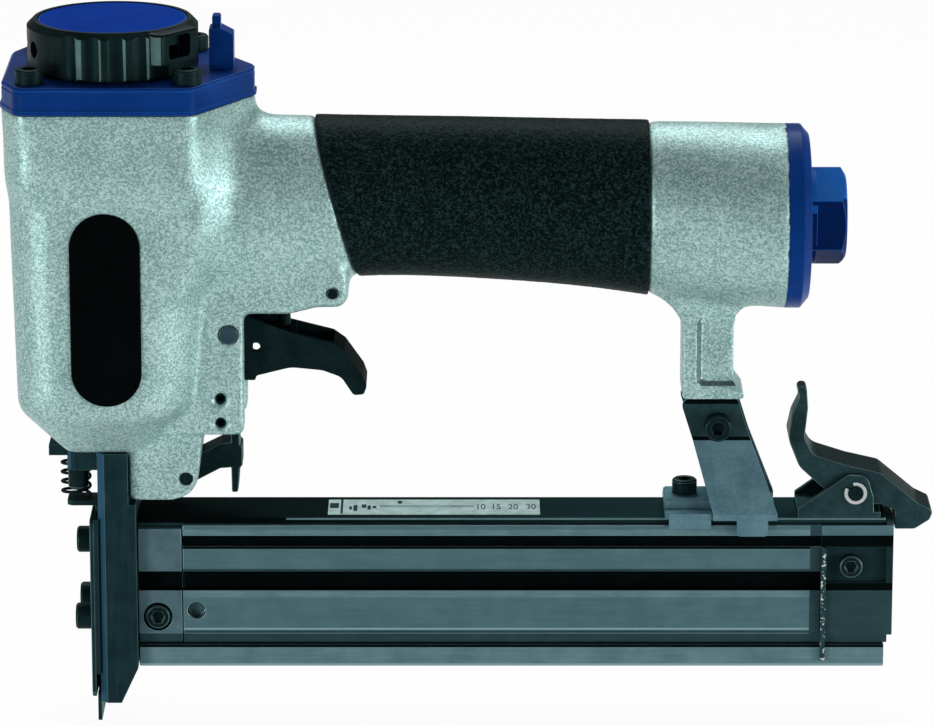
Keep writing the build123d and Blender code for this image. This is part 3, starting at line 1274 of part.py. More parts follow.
def nose_block():
    """Driver guide: a body with a shoulder, under a flange with a spring seat."""
    body_side = outline(
        (NOSE_FRONT_X, 0),
        (NOSE_TIP_REAR_X, 0),
        (NOSE_REAR_X, NOSE_CHAMFER_Z),
        (NOSE_REAR_X, NOSE_SHOULDER_Z),
        (LUG_FRONT_X - SEAT_GAP, NOSE_SHOULDER_Z, 0.4),
        (LUG_FRONT_X - SEAT_GAP, HEAD_BOTTOM_Z),
        (NOSE_FRONT_X, HEAD_BOTTOM_Z),
    )
    body = side_plate(body_side, -NOSE_HALF_WIDTH, NOSE_HALF_WIDTH)
    front_edges = body.faces().sort_by(Axis.X)[0].edges().filter_by(Axis.Z)
    body = chamfer(front_edges, NOSE_EDGE_CHAMFER)
    flange = block(
        (FLANGE_FRONT_X, -FLANGE_HALF_WIDTH, FLANGE_BOTTOM_Z),
        (LUG_FRONT_X - SEAT_GAP, FLANGE_HALF_WIDTH, HEAD_BOTTOM_Z),
    )
    flange = fillet(flange.faces().sort_by(Axis.X)[0].edges().filter_by(Axis.Z), 2.4)
    seat = block(
        (TONGUE_SEAT_X, -TONGUE_SEAT_HALF_WIDTH, TONGUE_SEAT_Z),
        (NOSE_FRONT_X, TONGUE_SEAT_HALF_WIDTH, HEAD_BOTTOM_Z),
    )
    body = body + flange
    recess = block(
        (FLANGE_FRONT_X - 1, -TONGUE_SEAT_HALF_WIDTH, FLANGE_BOTTOM_Z - 1),
        (FOOT_SPRING_X + FOOT_SPRING_R + 1.4, TONGUE_SEAT_HALF_WIDTH, TONGUE_SEAT_Z),
    )
    body = body - recess + seat
    half_x = DRIVER_X / 2 + CHANNEL_CLEARANCE
    half_y = DRIVER_Y / 2 + CHANNEL_CLEARANCE
    body -= block((-half_x, -half_y, -1), (half_x, half_y, HEAD_BOTTOM_Z + 1))
    body -= block(
        (0, -NAIL_SLOT_HALF_WIDTH, NAIL_BOTTOM_Z),
        (NOSE_REAR_X + 1, NAIL_SLOT_HALF_WIDTH, NAIL_TOP_Z),
    )
    for y in (-FLANGE_BOLT_Y, FLANGE_BOLT_Y):
        body -= rod_z(FLANGE_BOLT_X, y, FLANGE_BOLT_R + FIT, FLANGE_BOTTOM_Z - 1, HEAD_BOTTOM_Z + 1)
    reach = NOSE_FRONT_X + NOSE_BOLT_REACH
    for y, z in nose_bolt_places():
        body -= rod_x(y, z, NOSE_BOLT_R + FIT, NOSE_FRONT_X - 1, reach)
    return body


def nose_bolt_places():
    """Y and Z of the three screws in the front of the nose."""
    return [(0, UPPER_BOLT_Z), (-LOWER_BOLT_Y, LOWER_BOLT_Z), (LOWER_BOLT_Y, LOWER_BOLT_Z)]


def nose_spacers():
    """Two strips that leave a guide for the contact foot between them."""
    inner = FOOT_HALF_WIDTH + FOOT_SLOT_CLEARANCE
    strip = block(
        (SPACER_FRONT_X, inner, SPACER_BOTTOM_Z),
        (NOSE_FRONT_X, PLATE_HALF_WIDTH, PLATE_TOP_Z),
    )
    strip -= rod_x(LOWER_BOLT_Y, LOWER_BOLT_Z, NOSE_BOLT_R + FIT, SPACER_FRONT_X - 1, NOSE_FRONT_X + 1)
    return Compound([strip, mirror(strip, about=Plane.XZ)])


def nose_cover():
    """Plate over the contact foot, with chamfered lower corners."""
    face = outline(
        (-PLATE_HALF_WIDTH, PLATE_TOP_Z, 1.5),
        (PLATE_HALF_WIDTH, PLATE_TOP_Z, 1.5),
        (PLATE_HALF_WIDTH, PLATE_BOTTOM_Z + PLATE_CORNER),
        (PLATE_HALF_WIDTH - PLATE_CORNER, PLATE_BOTTOM_Z),
        (PLATE_CORNER - PLATE_HALF_WIDTH, PLATE_BOTTOM_Z),
        (-PLATE_HALF_WIDTH, PLATE_BOTTOM_Z + PLATE_CORNER),
    )
    body = bar_along_x(face, PLATE_FRONT_X, SPACER_FRONT_X)
    for y, z in nose_bolt_places():
        body -= rod_x(y, z, NOSE_BOLT_R + FIT, PLATE_FRONT_X - 1, SPACER_FRONT_X + 1)
    return body


def nose_bolts():
    """Three socket screws through the front plates."""
    shank = NOSE_FRONT_X + NOSE_BOLT_REACH - PLATE_FRONT_X - SEAT_GAP
    one = Rot(0, -90, 0) * screw(NOSE_BOLT_HEAD_R, NOSE_BOLT_HEAD, NOSE_BOLT_R, shank)
    return Compound([Pos(PLATE_FRONT_X, y, z) * one for y, z in nose_bolt_places()])


def nose_flange_bolts():
    """Two socket screws that hold the nose flange under the head."""
    shank = FLANGE_THICKNESS + FLANGE_BOLT_DEPTH - SEAT_GAP
    one = Rot(180, 0, 0) * screw(FLANGE_BOLT_HEAD_R, FLANGE_BOLT_HEAD, FLANGE_BOLT_R, shank)
    places = (-FLANGE_BOLT_Y, FLANGE_BOLT_Y)
    return Compound([Pos(FLANGE_BOLT_X, y, FLANGE_BOTTOM_Z) * one for y in places])


def contact_foot():
    """Strip that widens below the nose, with a lug at its top for the spring."""
    half = FOOT_HALF_WIDTH
    tip = FOOT_TIP_HALF_WIDTH
    top = FOOT_LUG_Z + FOOT_LUG_THICKNESS
    strip = outline(
        (-half, top),
        (half, top),
        (half, FOOT_TIP_TOP_Z, 1),
        (tip, FOOT_TIP_TOP_Z, 1.5),
        (tip, -FOOT_PROUD, 0.6),
        (-tip, -FOOT_PROUD, 0.6),
        (-tip, FOOT_TIP_TOP_Z, 1.5),
        (-half, FOOT_TIP_TOP_Z, 1),
    )
    body = bar_along_x(strip, FOOT_FRONT_X, FOOT_BACK_X)
    lug = block((FOOT_LUG_FRONT_X, -half, FOOT_LUG_Z), (FOOT_FRONT_X + 0.1, half, top))
    lug = fillet(lug.faces().sort_by(Axis.X)[0].edges().filter_by(Axis.Z), 1.8)
    body += lug
    slot_r = NOSE_BOLT_R + FOOT_SLOT_CLEARANCE
    low = UPPER_BOLT_Z - FOOT_TRAVEL
    body -= rod_x(0, low, slot_r, FOOT_FRONT_X - 1, FOOT_BACK_X + 1)
    body -= rod_x(0, UPPER_BOLT_Z, slot_r, FOOT_FRONT_X - 1, FOOT_BACK_X + 1)
    return body - block(
        (FOOT_FRONT_X - 0.5, -slot_r, low),
        (FOOT_BACK_X + 1, slot_r, UPPER_BOLT_Z),
    )


def contact_spring():
    """Coil that presses the contact foot down."""
    low = FOOT_LUG_Z + FOOT_LUG_THICKNESS + SEAT_GAP
    height = TONGUE_SEAT_Z - SEAT_GAP - low
    turns = coil("contact_spring", FOOT_SPRING_R, FOOT_SPRING_WIRE, FOOT_SPRING_TURNS, height)
    return Pos(FOOT_SPRING_X, 0, low) * turns


# Magazine

def grooved_side(low_z, high_z, face_y, grooves):
    """Points up the near side of an extrusion, as (Y, Z), with its grooves."""
    points = [(face_y, low_z)]
    for low, high, depth in grooves:
        groove = [(face_y, low), (face_y + depth, low), (face_y + depth, high), (face_y, high)]
        points += [point for point in groove if point[1] > low_z or point[0] != face_y]
    points.append((face_y, high_z))
    return points


def magazine_rail():
    """Fixed extrusion: bottom flange, far half, top flange, cover rib and a web at the front."""
    far_side = [(-y, z) for y, z in grooved_side(RAIL_BOTTOM_Z, RAIL_TOP_Z, -RAIL_HALF_WIDTH, BAND_GROOVES)]
    face = make_face(Polyline(
        (-RAIL_HALF_WIDTH, RAIL_BOTTOM_Z),
        *far_side,
        (RAIL_TOP_NEAR_Y, RAIL_TOP_Z),
        (RAIL_TOP_NEAR_Y, FLANGE_UNDER_Z),
        (RIB_NEAR_Y, FLANGE_UNDER_Z),
        (RIB_NEAR_Y, RIB_BOTTOM_Z),
        (NAIL_SLOT_HALF_WIDTH, RIB_BOTTOM_Z),
        (NAIL_SLOT_HALF_WIDTH, NAIL_BOTTOM_Z),
        (-NAIL_SLOT_HALF_WIDTH, NAIL_BOTTOM_Z),
        (-NAIL_SLOT_HALF_WIDTH, RAIL_FLOOR_Z),
        (-RAIL_HALF_WIDTH, RAIL_FLOOR_Z),
        close=True,
    ))
    body = bar_along_x(face, RAIL_FRONT_X, RAIL_REAR_X)
    body += block(
        (RAIL_FRONT_X, COVER_INNER_Y - FRONT_WEB, RAIL_FLOOR_Z - 0.5),
        (FRONT_BLOCK_REAR_X, COVER_INNER_Y, RIB_BOTTOM_Z + 0.5),
    )
    body -= rod_y(FRONT_BOLT_X, FRONT_BOLT_Z, FRONT_BOLT_R + FIT, -RAIL_HALF_WIDTH, 0)
    return body - rod_z(CLAMP_BOLT_X, 0, CLAMP_BOLT_R + FIT, RIB_BOTTOM_Z + 1, RAIL_TOP_Z + 1)


def cover_face(grooves):
    """Section of the side cover, as (Y, Z)."""
    return make_face(Polyline(
        *grooved_side(COVER_BOTTOM_Z, COVER_TOP_Z, -RAIL_HALF_WIDTH, grooves),
        (COVER_LIP_Y, COVER_TOP_Z),
        (COVER_LIP_Y, COVER_INNER_TOP_Z),
        (COVER_INNER_Y, COVER_INNER_TOP_Z),
        (COVER_INNER_Y, COVER_BOTTOM_Z),
        close=True,
    ))


def magazine_front_block():
    """Fixed near half of the magazine, right behind the nose."""
    lower_grooves = BAND_GROOVES[:2]
    body = bar_along_x(cover_face(lower_grooves), RAIL_FRONT_X, FRONT_BLOCK_REAR_X)
    body -= block(
        (RAIL_FRONT_X - 1, COVER_INNER_Y - FRONT_WEB - SEAT_GAP, 0),
        (COVER_FRONT_X, 1, RAIL_TOP_Z),
    )
    body -= block(
        (RAIL_FRONT_X - 1, -RAIL_HALF_WIDTH - 1, COVER_TOP_Z - FRONT_BLOCK_DROP),
        (COVER_FRONT_X, 1, RAIL_TOP_Z),
    )
    low_y = -RAIL_HALF_WIDTH
    body -= rod_y(FRONT_BOLT_X, FRONT_BOLT_Z, FRONT_BOLT_HEAD_R + 0.5, low_y - 1, low_y + FRONT_BOLT_RECESS)
    return body - rod_y(FRONT_BOLT_X, FRONT_BOLT_Z, FRONT_BOLT_R + FIT, low_y - 1, 1)


def front_block_bolt():
    """Socket screw of the front block."""
    seat_y = -RAIL_HALF_WIDTH + FRONT_BOLT_RECESS
    shank = COVER_INNER_Y - seat_y - SEAT_GAP
    one = screw(FRONT_BOLT_HEAD_R, FRONT_BOLT_HEAD, FRONT_BOLT_R, shank)
    return Pos(FRONT_BOLT_X, seat_y, FRONT_BOLT_Z) * Rot(90, 0, 0) * one


def magazine_cover():
    """Sliding near half of the magazine, grooved outside, with a groove inside for the pusher."""
    body = bar_along_x(cover_face(BAND_GROOVES), COVER_FRONT_X, COVER_REAR_X)
    body += block(
        (COVER_REAR_X - 1, COVER_INNER_LAYER_Y, COVER_BOTTOM_Z),
        (RAIL_REAR_X, COVER_INNER_Y, COVER_INNER_TOP_Z),
    )
    body -= block(
        (CARRIAGE_GROOVE_X, CARRIAGE_GROOVE_Y, CARRIAGE_GROOVE_LOW_Z),
        (COVER_REAR_X, COVER_INNER_Y + 1, CARRIAGE_GROOVE_HIGH_Z),
    )
    near = -RAIL_HALF_WIDTH
    body -= rod_y(COVER_HOLE_X, COVER_HOLE_Z, COVER_HOLE_R, near - 1, near + COVER_HOLE_DEPTH)
    inner_end = COVER_INNER_LAYER_Y + END_BOLT_REACH
    return body - rod_y(END_BOLT_X, END_BOLT_Z, END_BOLT_R + FIT, near, inner_end)


def magazine_end_piece():
    """Rear end of the cover: an outer shell, an end plate and a rib to pull on."""
    outer_face = make_face(Polyline(
        *grooved_side(COVER_BOTTOM_Z, COVER_TOP_Z, -RAIL_HALF_WIDTH, (LOW_BAND_GROOVE, END_RECESS)),
        (COVER_LIP_Y, COVER_TOP_Z),
        (COVER_LIP_Y, COVER_INNER_TOP_Z),
        (COVER_INNER_LAYER_Y - SEAT_GAP, COVER_INNER_TOP_Z),
        (COVER_INNER_LAYER_Y - SEAT_GAP, COVER_BOTTOM_Z),
        close=True,
    ))
    body = bar_along_x(outer_face, COVER_REAR_X + SEAT_GAP, END_PLATE_X + 0.5)
    plate = outline(
        (-RAIL_HALF_WIDTH, RAIL_FLOOR_Z + END_PLATE_RISE),
        (RAIL_HALF_WIDTH - END_PLATE_FAR_STEP, RAIL_FLOOR_Z + END_PLATE_RISE, 2),
        (RAIL_HALF_WIDTH - END_PLATE_FAR_STEP, END_PLATE_TOP_Z, 2),
        (-RAIL_HALF_WIDTH, END_PLATE_TOP_Z, 2),
    )
    body += bar_along_x(plate, END_PLATE_X, END_PLATE_REAR_X)
    rib_x = COVER_REAR_X + SEAT_GAP
    body += block(
        (rib_x, -RAIL_HALF_WIDTH - PULL_RIB_PROUD, RAIL_BOTTOM_Z + PULL_RIB_RISE),
        (rib_x + PULL_RIB_THICKNESS, -RAIL_HALF_WIDTH - SEAT_GAP, END_RECESS_HIGH_Z),
    )
    body += block(
        (rib_x, -RAIL_HALF_WIDTH - PULL_RIB_PROUD, COVER_BOTTOM_Z + 3),
        (rib_x + PULL_RIB_THICKNESS, -RAIL_HALF_WIDTH + 0.5, END_RECESS[0] - 1),
    )
    return body - rod_y(END_BOLT_X, END_BOLT_Z, END_BOLT_R + FIT, -20, 0)


def end_piece_bolt():
    """Socket screw of the end piece."""
    seat_y = -RAIL_HALF_WIDTH + END_RECESS_DEPTH
    shank = COVER_INNER_LAYER_Y + END_BOLT_REACH - seat_y - SEAT_GAP
    one = screw(END_BOLT_HEAD_R, END_BOLT_HEAD, END_BOLT_R, shank)
    return Pos(END_BOLT_X, seat_y, END_BOLT_Z) * Rot(90, 0, 0) * one


def pusher():
    """Blade that feeds the nails, on a carriage in the cover's groove."""
    half = PUSHER_THICKNESS / 2
    blade = block(
        (PUSHER_FRONT_X, -half, NAIL_BOTTOM_Z + SLIDE_GAP),
        (PUSHER_FRONT_X + PUSHER_LENGTH, half, NAIL_TOP_Z - 1),
    )
    outer_y = CARRIAGE_GROOVE_Y + RIBBON + 2 * SEAT_GAP
    return blade + block(
        (CARRIAGE_FRONT_X, outer_y, CARRIAGE_GROOVE_LOW_Z + SLIDE_GAP),
        (CARRIAGE_REAR_X, half, CARRIAGE_GROOVE_HIGH_Z - SLIDE_GAP),
    )


def pusher_spring():
    """Flat ribbon spring: a roll behind the carriage and a tail along the groove."""
    low = CARRIAGE_GROOVE_LOW_Z + RIBBON_EDGE
    high = CARRIAGE_GROOVE_HIGH_Z - RIBBON_EDGE
    tail_y = CARRIAGE_GROOVE_Y + SEAT_GAP
    roll_x = CARRIAGE_REAR_X + SEAT_GAP + RIBBON_ROLL_R
    tail = block((CARRIAGE_FRONT_X, tail_y, low), (roll_x, tail_y + RIBBON, high))
    roll = rod_z(roll_x, tail_y + RIBBON_ROLL_R, RIBBON_ROLL_R, low, high)
    return tail + roll - rod_z(roll_x, tail_y + RIBBON_ROLL_R, RIBBON_EYE_R, low - 1, high + 1)


def scale_label():
    """Pale strip on the top of the rail."""
    low = (LABEL_FRONT_X, -LABEL_HALF_WIDTH, RAIL_TOP_Z)
    high = (LABEL_FRONT_X + LABEL_LENGTH, LABEL_HALF_WIDTH, RAIL_TOP_Z + LABEL_THICKNESS)
    return block(low, high)


# Bracket and latch

def bracket_cheek():
    """Near cheek: a sheet bent outward from the tongue to the magazine, with a tab at its foot."""
    top = STRUT_FRONT_X + BRACKET_TOP_SHIFT
    fold = STRUT_FRONT_X + BRACKET_FOLD_SHIFT
    foot = STRUT_FRONT_X + BRACKET_FOOT_SHIFT
    foot_rear = foot + BRACKET_FOOT_WIDTH
    tab = foot + BRACKET_TAB_INSET
    tab_rear = tab + BRACKET_TAB_WIDTH
    upper_y = -TONGUE_HALF_WIDTH - SEAT_GAP
    lower_y = -RAIL_HALF_WIDTH - SLIDE_GAP
    top_z = STRUT_BOTTOM_Z - SEAT_GAP
    tab_z = RAIL_TOP_Z - BRACKET_TAB_HEIGHT
    bent = make_face(Polyline(
        (upper_y, top_z),
        (upper_y, BRACKET_FOLD_Z),
        (lower_y, BRACKET_BASE_Z),
        (lower_y, tab_z),
        (lower_y - BRACKET_SHEET, tab_z),
        (lower_y - BRACKET_SHEET, BRACKET_BASE_Z),
        (upper_y - BRACKET_SHEET, BRACKET_FOLD_Z),
        (upper_y - BRACKET_SHEET, top_z),
        close=True,
    ))
    side = outline(
        (top, top_z, 2),
        (top + BRACKET_WIDTH, top_z, 1),
        (fold + BRACKET_WIDTH, BRACKET_FOLD_Z, 6),
        (foot_rear, BRACKET_BASE_Z, 1),
        (foot_rear, RAIL_TOP_Z),
        (tab_rear, RAIL_TOP_Z),
        (tab_rear, tab_z, 1),
        (tab, tab_z, 1),
        (tab, RAIL_TOP_Z),
        (foot, RAIL_TOP_Z),
        (foot, BRACKET_BASE_Z, 1),
        (fold, BRACKET_FOLD_Z, 6),
    )
    sheet = bar_along_x(bent, top - 5, foot_rear + 5)
    return sheet & side_plate(side, lower_y - 5, upper_y + 1)


def rear_bracket():
    """Sheet bracket: two cheeks on a base plate with a clamp block and side lips."""
    outer = RAIL_HALF_WIDTH + SLIDE_GAP
    base = block(
        (BRACKET_BASE_FRONT_X, -outer, RAIL_TOP_Z),
        (BRACKET_BASE_FRONT_X + BRACKET_BASE_LENGTH, outer, BRACKET_BASE_Z),
    )
    block_rear = BRACKET_BASE_FRONT_X + BRACKET_BLOCK_LENGTH
    clamp = block(
        (BRACKET_BASE_FRONT_X, -BRACKET_BLOCK_HALF_WIDTH, BRACKET_BASE_Z - 0.5),
        (block_rear, BRACKET_BLOCK_HALF_WIDTH, BRACKET_BASE_Z + BRACKET_BLOCK_HEIGHT),
    )
    clamp = chamfer(clamp.faces().sort_by(Axis.Z)[-1].edges(), 0.6)
    lip = block(
        (BRACKET_BASE_FRONT_X + 1, -outer - BRACKET_SHEET / 2, COVER_TOP_Z - 0.6),
        (block_rear - 0.6, -outer, BRACKET_BASE_Z),
    )
    body = base + clamp + both_sides(lip) + both_sides(bracket_cheek())
    body -= rod_y(BRACKET_BOLT_X, BRACKET_BOLT_Z, BRACKET_BOLT_R + FIT, -20, 20)
    return body - rod_z(CLAMP_BOLT_X, 0, CLAMP_BOLT_R + FIT, RAIL_TOP_Z - 1, RAIL_TOP_Z + 20)


def bracket_bolt():
    """Cross bolt through cheeks and tongue."""
    seat_y = -TONGUE_HALF_WIDTH - SEAT_GAP - BRACKET_SHEET
    shank = -2 * seat_y + BRACKET_NUT + 0.6
    one = screw(BRACKET_BOLT_HEAD_R, BRACKET_BOLT_HEAD, BRACKET_BOLT_R, shank)
    return Pos(BRACKET_BOLT_X, seat_y, BRACKET_BOLT_Z) * Rot(90, 0, 0) * one


def bracket_nut():
    """Nut on the far end of the cross bolt."""
    seat_y = TONGUE_HALF_WIDTH + SEAT_GAP + BRACKET_SHEET
    hexagon = Pos(BRACKET_BOLT_X, BRACKET_BOLT_Z) * RegularPolygon(BRACKET_NUT_FLATS / math.sqrt(3), 6)
    nut = side_plate(hexagon, seat_y, seat_y + BRACKET_NUT)
    return nut - rod_y(BRACKET_BOLT_X, BRACKET_BOLT_Z, BRACKET_BOLT_R + FIT, -20, 20)


def clamp_bolt():
    """Upright socket screw that holds the bracket on the rail."""
    seat_z = BRACKET_BASE_Z + BRACKET_BLOCK_HEIGHT
    shank = seat_z - RIB_BOTTOM_Z - 1 - SEAT_GAP
    one = screw(CLAMP_BOLT_HEAD_R, CLAMP_BOLT_HEAD, CLAMP_BOLT_R, shank)
    return Pos(CLAMP_BOLT_X, 0, seat_z) * one


def latch_bracket():
    """Base plate with two triangular ears."""
    base = block(
        (LATCH_PIVOT_X - LATCH_BASE_FRONT, -EAR_OUTER_Y, RAIL_TOP_Z),
        (LATCH_PIVOT_X + LATCH_BASE_REAR, EAR_OUTER_Y, LATCH_BASE_TOP_Z),
    )
    ear = outline_from(
        LATCH_PIVOT_X,
        LATCH_PIVOT_Z,
        (-LATCH_BASE_FRONT, -LATCH_PIVOT_RISE),
        (-LATCH_BASE_FRONT, LATCH_BASE + 0.8 - LATCH_PIVOT_RISE),
        (-2.0, 4.8, 2.5),
        (2.8, 4.4, 2.5),
        (4.6, -1.0, 2),
        (4.8, -LATCH_PIVOT_RISE),
    )
    body = base + both_sides(side_plate(ear, -EAR_OUTER_Y, -EAR_INNER_Y))
    return body - rod_y(LATCH_PIVOT_X, LATCH_PIVOT_Z, LATCH_PIN_R + FIT, -20, 20)


def latch_lever():
    """Folded lever: a thumb tab, a channel over the pin and a hook behind the end piece."""
    hook_x = LATCH_HOOK_X - LATCH_PIVOT_X
    hook_z = LATCH_HOOK_Z - LATCH_PIVOT_Z
    side = outline_from(
        LATCH_PIVOT_X,
        LATCH_PIVOT_Z,
        (-15.3, 29.0, 1.1),
        (-12.6, 29.0, 1.1),
        (-12.2, 23.1, 4),
        (-13.2, 14.6, 4),
        (-10.9, 9.8, 4),
        (-2.1, 6.8, 6),
        (6.5, 4.8, 3),
        (hook_x + 5.7, hook_z + 7.1, 2),
        (hook_x + 9.9, hook_z + 5.1, 1.4),
        (hook_x + 8.9, hook_z + 2.5, 1.5),
        (hook_x + 5.1, hook_z, 2),
        (hook_x, hook_z, 0.4),
        (hook_x, -5.2, 1),
        (6.9, -3.7),
        (-3.1, -3.5, 2),
        (-9.1, 1.4, 4),
        (-14.5, 6.4, 5),
        (-17.3, 14.2, 6),
        (-16.3, 21.6, 6),
        (-14.5, 26.0, 2),
    )
    body = side_plate(side, -LATCH_HALF_WIDTH, LATCH_HALF_WIDTH)
    inside = outline_from(
        LATCH_PIVOT_X,
        LATCH_PIVOT_Z,
        (-7.1, -5.4),
        (-7.1, 5.8, 1),
        (-2.1, 5.0),
        (5.9, 3.0, 1),
        (9.3, 0, 1),
        (9.3, -5.4),
    )
    wall = LATCH_HALF_WIDTH - LATCH_SHEET
    body -= side_plate(inside, -wall, wall)
    return body - rod_y(LATCH_PIVOT_X, LATCH_PIVOT_Z, LATCH_PIN_R + RUNNING_FIT, -20, 20)


def latch_pin():
    """Headed pin through ears and lever."""
    low = -EAR_OUTER_Y - CLIP_THICKNESS - 0.5
    body = rod_y(LATCH_PIVOT_X, LATCH_PIVOT_Z, LATCH_PIN_R, low, EAR_OUTER_Y + 1)
    return body + rod_y(LATCH_PIVOT_X, LATCH_PIVOT_Z, CLIP_R, EAR_OUTER_Y, EAR_OUTER_Y + 1)


def latch_clip():
    """Retaining ring on the near end of the latch pin."""
    high = -EAR_OUTER_Y
    low = high - CLIP_THICKNESS
    ring = rod_y(LATCH_PIVOT_X, LATCH_PIVOT_Z, CLIP_R, low, high)
    return ring - rod_y(LATCH_PIVOT_X, LATCH_PIVOT_Z, LATCH_PIN_R + FIT, -20, 0)


def latch_spring():
    """Torsion spring round the latch pin."""
    height = 2 * (LATCH_HALF_WIDTH - LATCH_SHEET) - 1.0
    turns = coil("latch_spring", LATCH_SPRING_R, LATCH_SPRING_WIRE, LATCH_SPRING_TURNS, height)
    return Pos(LATCH_PIVOT_X, height / 2, LATCH_PIVOT_Z) * Rot(90, 0, 0) * turns


PIECES = (
    housing,
    handle_grip,
    end_cap,
    end_cap_seal,
    inlet_fitting,
    badge_plate,
    cylinder_cap,
    cap_gasket,
    cap_bolts,
    exhaust_deflector,
    deflector_disc,
    deflector_bolt,
    cylinder_liner,
    liner_seal,
    piston,
    piston_ring,
    driver_blade,
    driver_pin,
    bumper,
    head_valve,
    head_valve_spring,
    trigger,
    trigger_pin,
    trigger_valve_body,
    valve_stem,
    valve_spring,
    retaining_pin,
    guide_pins,
    safety_lever,
    safety_pin,
    safety_spring,
    nose_block,
    nose_spacers,
    nose_cover,
    nose_bolts,
    nose_flange_bolts,
    contact_foot,
    contact_spring,
    magazine_rail,
    magazine_front_block,
    front_block_bolt,
    magazine_cover,
    magazine_end_piece,
    end_piece_bolt,
    pusher,
    pusher_spring,
    scale_label,
    rear_bracket,
    bracket_bolt,
    bracket_nut,
    clamp_bolt,
    latch_bracket,
    latch_lever,
    latch_pin,
    latch_clip,
    latch_spring,
)

os.makedirs("parts", exist_ok=True)
for piece in PIECES:
    export_step(piece(), f"parts/{piece.__name__}.step")
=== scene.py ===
import json
import math

import bmesh
import bpy
import numpy as np
from mathutils import Matrix, Vector, noise


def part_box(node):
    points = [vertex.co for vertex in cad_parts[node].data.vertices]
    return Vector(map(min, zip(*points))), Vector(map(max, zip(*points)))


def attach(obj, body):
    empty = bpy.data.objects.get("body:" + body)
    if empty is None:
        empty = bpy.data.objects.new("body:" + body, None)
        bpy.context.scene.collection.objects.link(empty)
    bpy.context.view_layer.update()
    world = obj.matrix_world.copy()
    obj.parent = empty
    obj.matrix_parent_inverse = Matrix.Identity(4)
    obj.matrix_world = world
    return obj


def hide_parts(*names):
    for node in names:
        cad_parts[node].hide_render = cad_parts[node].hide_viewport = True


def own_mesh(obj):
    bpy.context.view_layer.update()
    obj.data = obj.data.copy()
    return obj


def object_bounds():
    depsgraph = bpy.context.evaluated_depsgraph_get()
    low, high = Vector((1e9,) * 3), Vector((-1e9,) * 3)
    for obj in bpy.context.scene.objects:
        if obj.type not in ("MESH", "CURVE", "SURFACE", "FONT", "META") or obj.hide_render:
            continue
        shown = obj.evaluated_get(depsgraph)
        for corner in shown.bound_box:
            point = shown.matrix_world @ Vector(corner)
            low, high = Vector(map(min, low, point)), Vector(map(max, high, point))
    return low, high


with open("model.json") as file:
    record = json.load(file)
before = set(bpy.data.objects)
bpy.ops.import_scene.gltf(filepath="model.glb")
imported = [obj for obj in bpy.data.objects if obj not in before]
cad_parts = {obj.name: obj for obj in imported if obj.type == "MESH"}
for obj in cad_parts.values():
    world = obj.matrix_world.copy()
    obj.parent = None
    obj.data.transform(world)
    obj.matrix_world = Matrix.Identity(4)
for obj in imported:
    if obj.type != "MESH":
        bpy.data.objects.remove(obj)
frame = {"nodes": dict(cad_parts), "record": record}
cad_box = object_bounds()

# An air nailer seen from its near side. Metres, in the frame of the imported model.
MM = 0.001

# Camera: the place it looks at, its distance and height, and the lens
CAMERA_TARGET = Vector((89.4, 0.0, 87.6)) * MM
CAMERA_DISTANCE = 1.4
CAMERA_ELEVATION = math.radians(15.5)
CAMERA_LENS = 210.4
CAMERA_SENSOR = 36.0

# Colours, linear. A pair is the ground and its lighter patches.
PAINT_DARK = (0.19, 0.35, 0.34)
PAINT_MIDDLE = (0.33, 0.52, 0.50)
PAINT_LIGHT = (0.51, 0.71, 0.69)
# Share of the cast paint's colour in the painted shade on the strut pocket's steps
POCKET_PAINTED_SHADE = 0.27
BLUE = (0.003, 0.032, 0.17), (0.005, 0.044, 0.24)
BLUE_EDGE = (0.01, 0.08, 0.36), (0.02, 0.11, 0.42)
BLUE_LIT = (0.004, 0.12, 0.50), (0.010, 0.13, 0.46)
BLUE_DEEP = (0.002, 0.014, 0.080), (0.003, 0.020, 0.11)
# The disc's blue, painted lighter than the cap's blue as painted light on its up-facing top
DISC = (0.002, 0.040, 0.33), (0.003, 0.050, 0.38)
GRIP_DARK = (0.0015, 0.004, 0.004)
GRIP = (0.004, 0.010, 0.010)
GRIP_LIGHT = (0.016, 0.036, 0.036)
BLACK_PLASTIC = (0.003, 0.008, 0.009)
RIDGE = (0.006, 0.013, 0.013)
RIDGE_LIT = (0.085, 0.150, 0.145)
BADGE = (0.001, 0.001, 0.001)
LABEL = (0.47, 0.69, 0.67)
INK = (0.012, 0.028, 0.03)
FAINT_INK = (0.20, 0.32, 0.315)
BLACK_STEEL = (0.003, 0.009, 0.010), (0.008, 0.020, 0.022)
BLACK_STEEL_EDGE = (0.05, 0.09, 0.10), (0.10, 0.15, 0.16)
# Darker black for the painted shade on the trigger's upper and lower sides
BLACK_DEEP = (0.0015, 0.004, 0.004), (0.003, 0.008, 0.008)
PIN = (0.026, 0.058, 0.074), (0.040, 0.085, 0.105)
SHEET = (0.014, 0.036, 0.040), (0.03, 0.066, 0.072)
SHEET_EDGE = (0.09, 0.16, 0.17), (0.16, 0.24, 0.25)
# The bracket's sheet, painted lighter than the coated sheet as a painted reflection of the light from above
BRACKET = (0.088, 0.180, 0.225), (0.15, 0.28, 0.33)
NOSE = (0.007, 0.022, 0.027), (0.016, 0.042, 0.049)
NOSE_LIT = (0.024, 0.082, 0.142), (0.036, 0.105, 0.17)
NOSE_EDGE = (0.06, 0.12, 0.13), (0.10, 0.17, 0.18)
MAGAZINE = (0.072, 0.150, 0.168), (0.100, 0.196, 0.218)
# Lighter cover tone for the bands of painted light
MAGAZINE_PAINTED_LIGHT = (0.098, 0.190, 0.208), (0.16, 0.28, 0.30)
MAGAZINE_EDGE = (0.24, 0.38, 0.40), (0.24, 0.36, 0.38)
RAIL = (0.022, 0.054, 0.061), (0.034, 0.074, 0.083)
RAIL_EDGE = (0.10, 0.19, 0.21), (0.16, 0.26, 0.28)
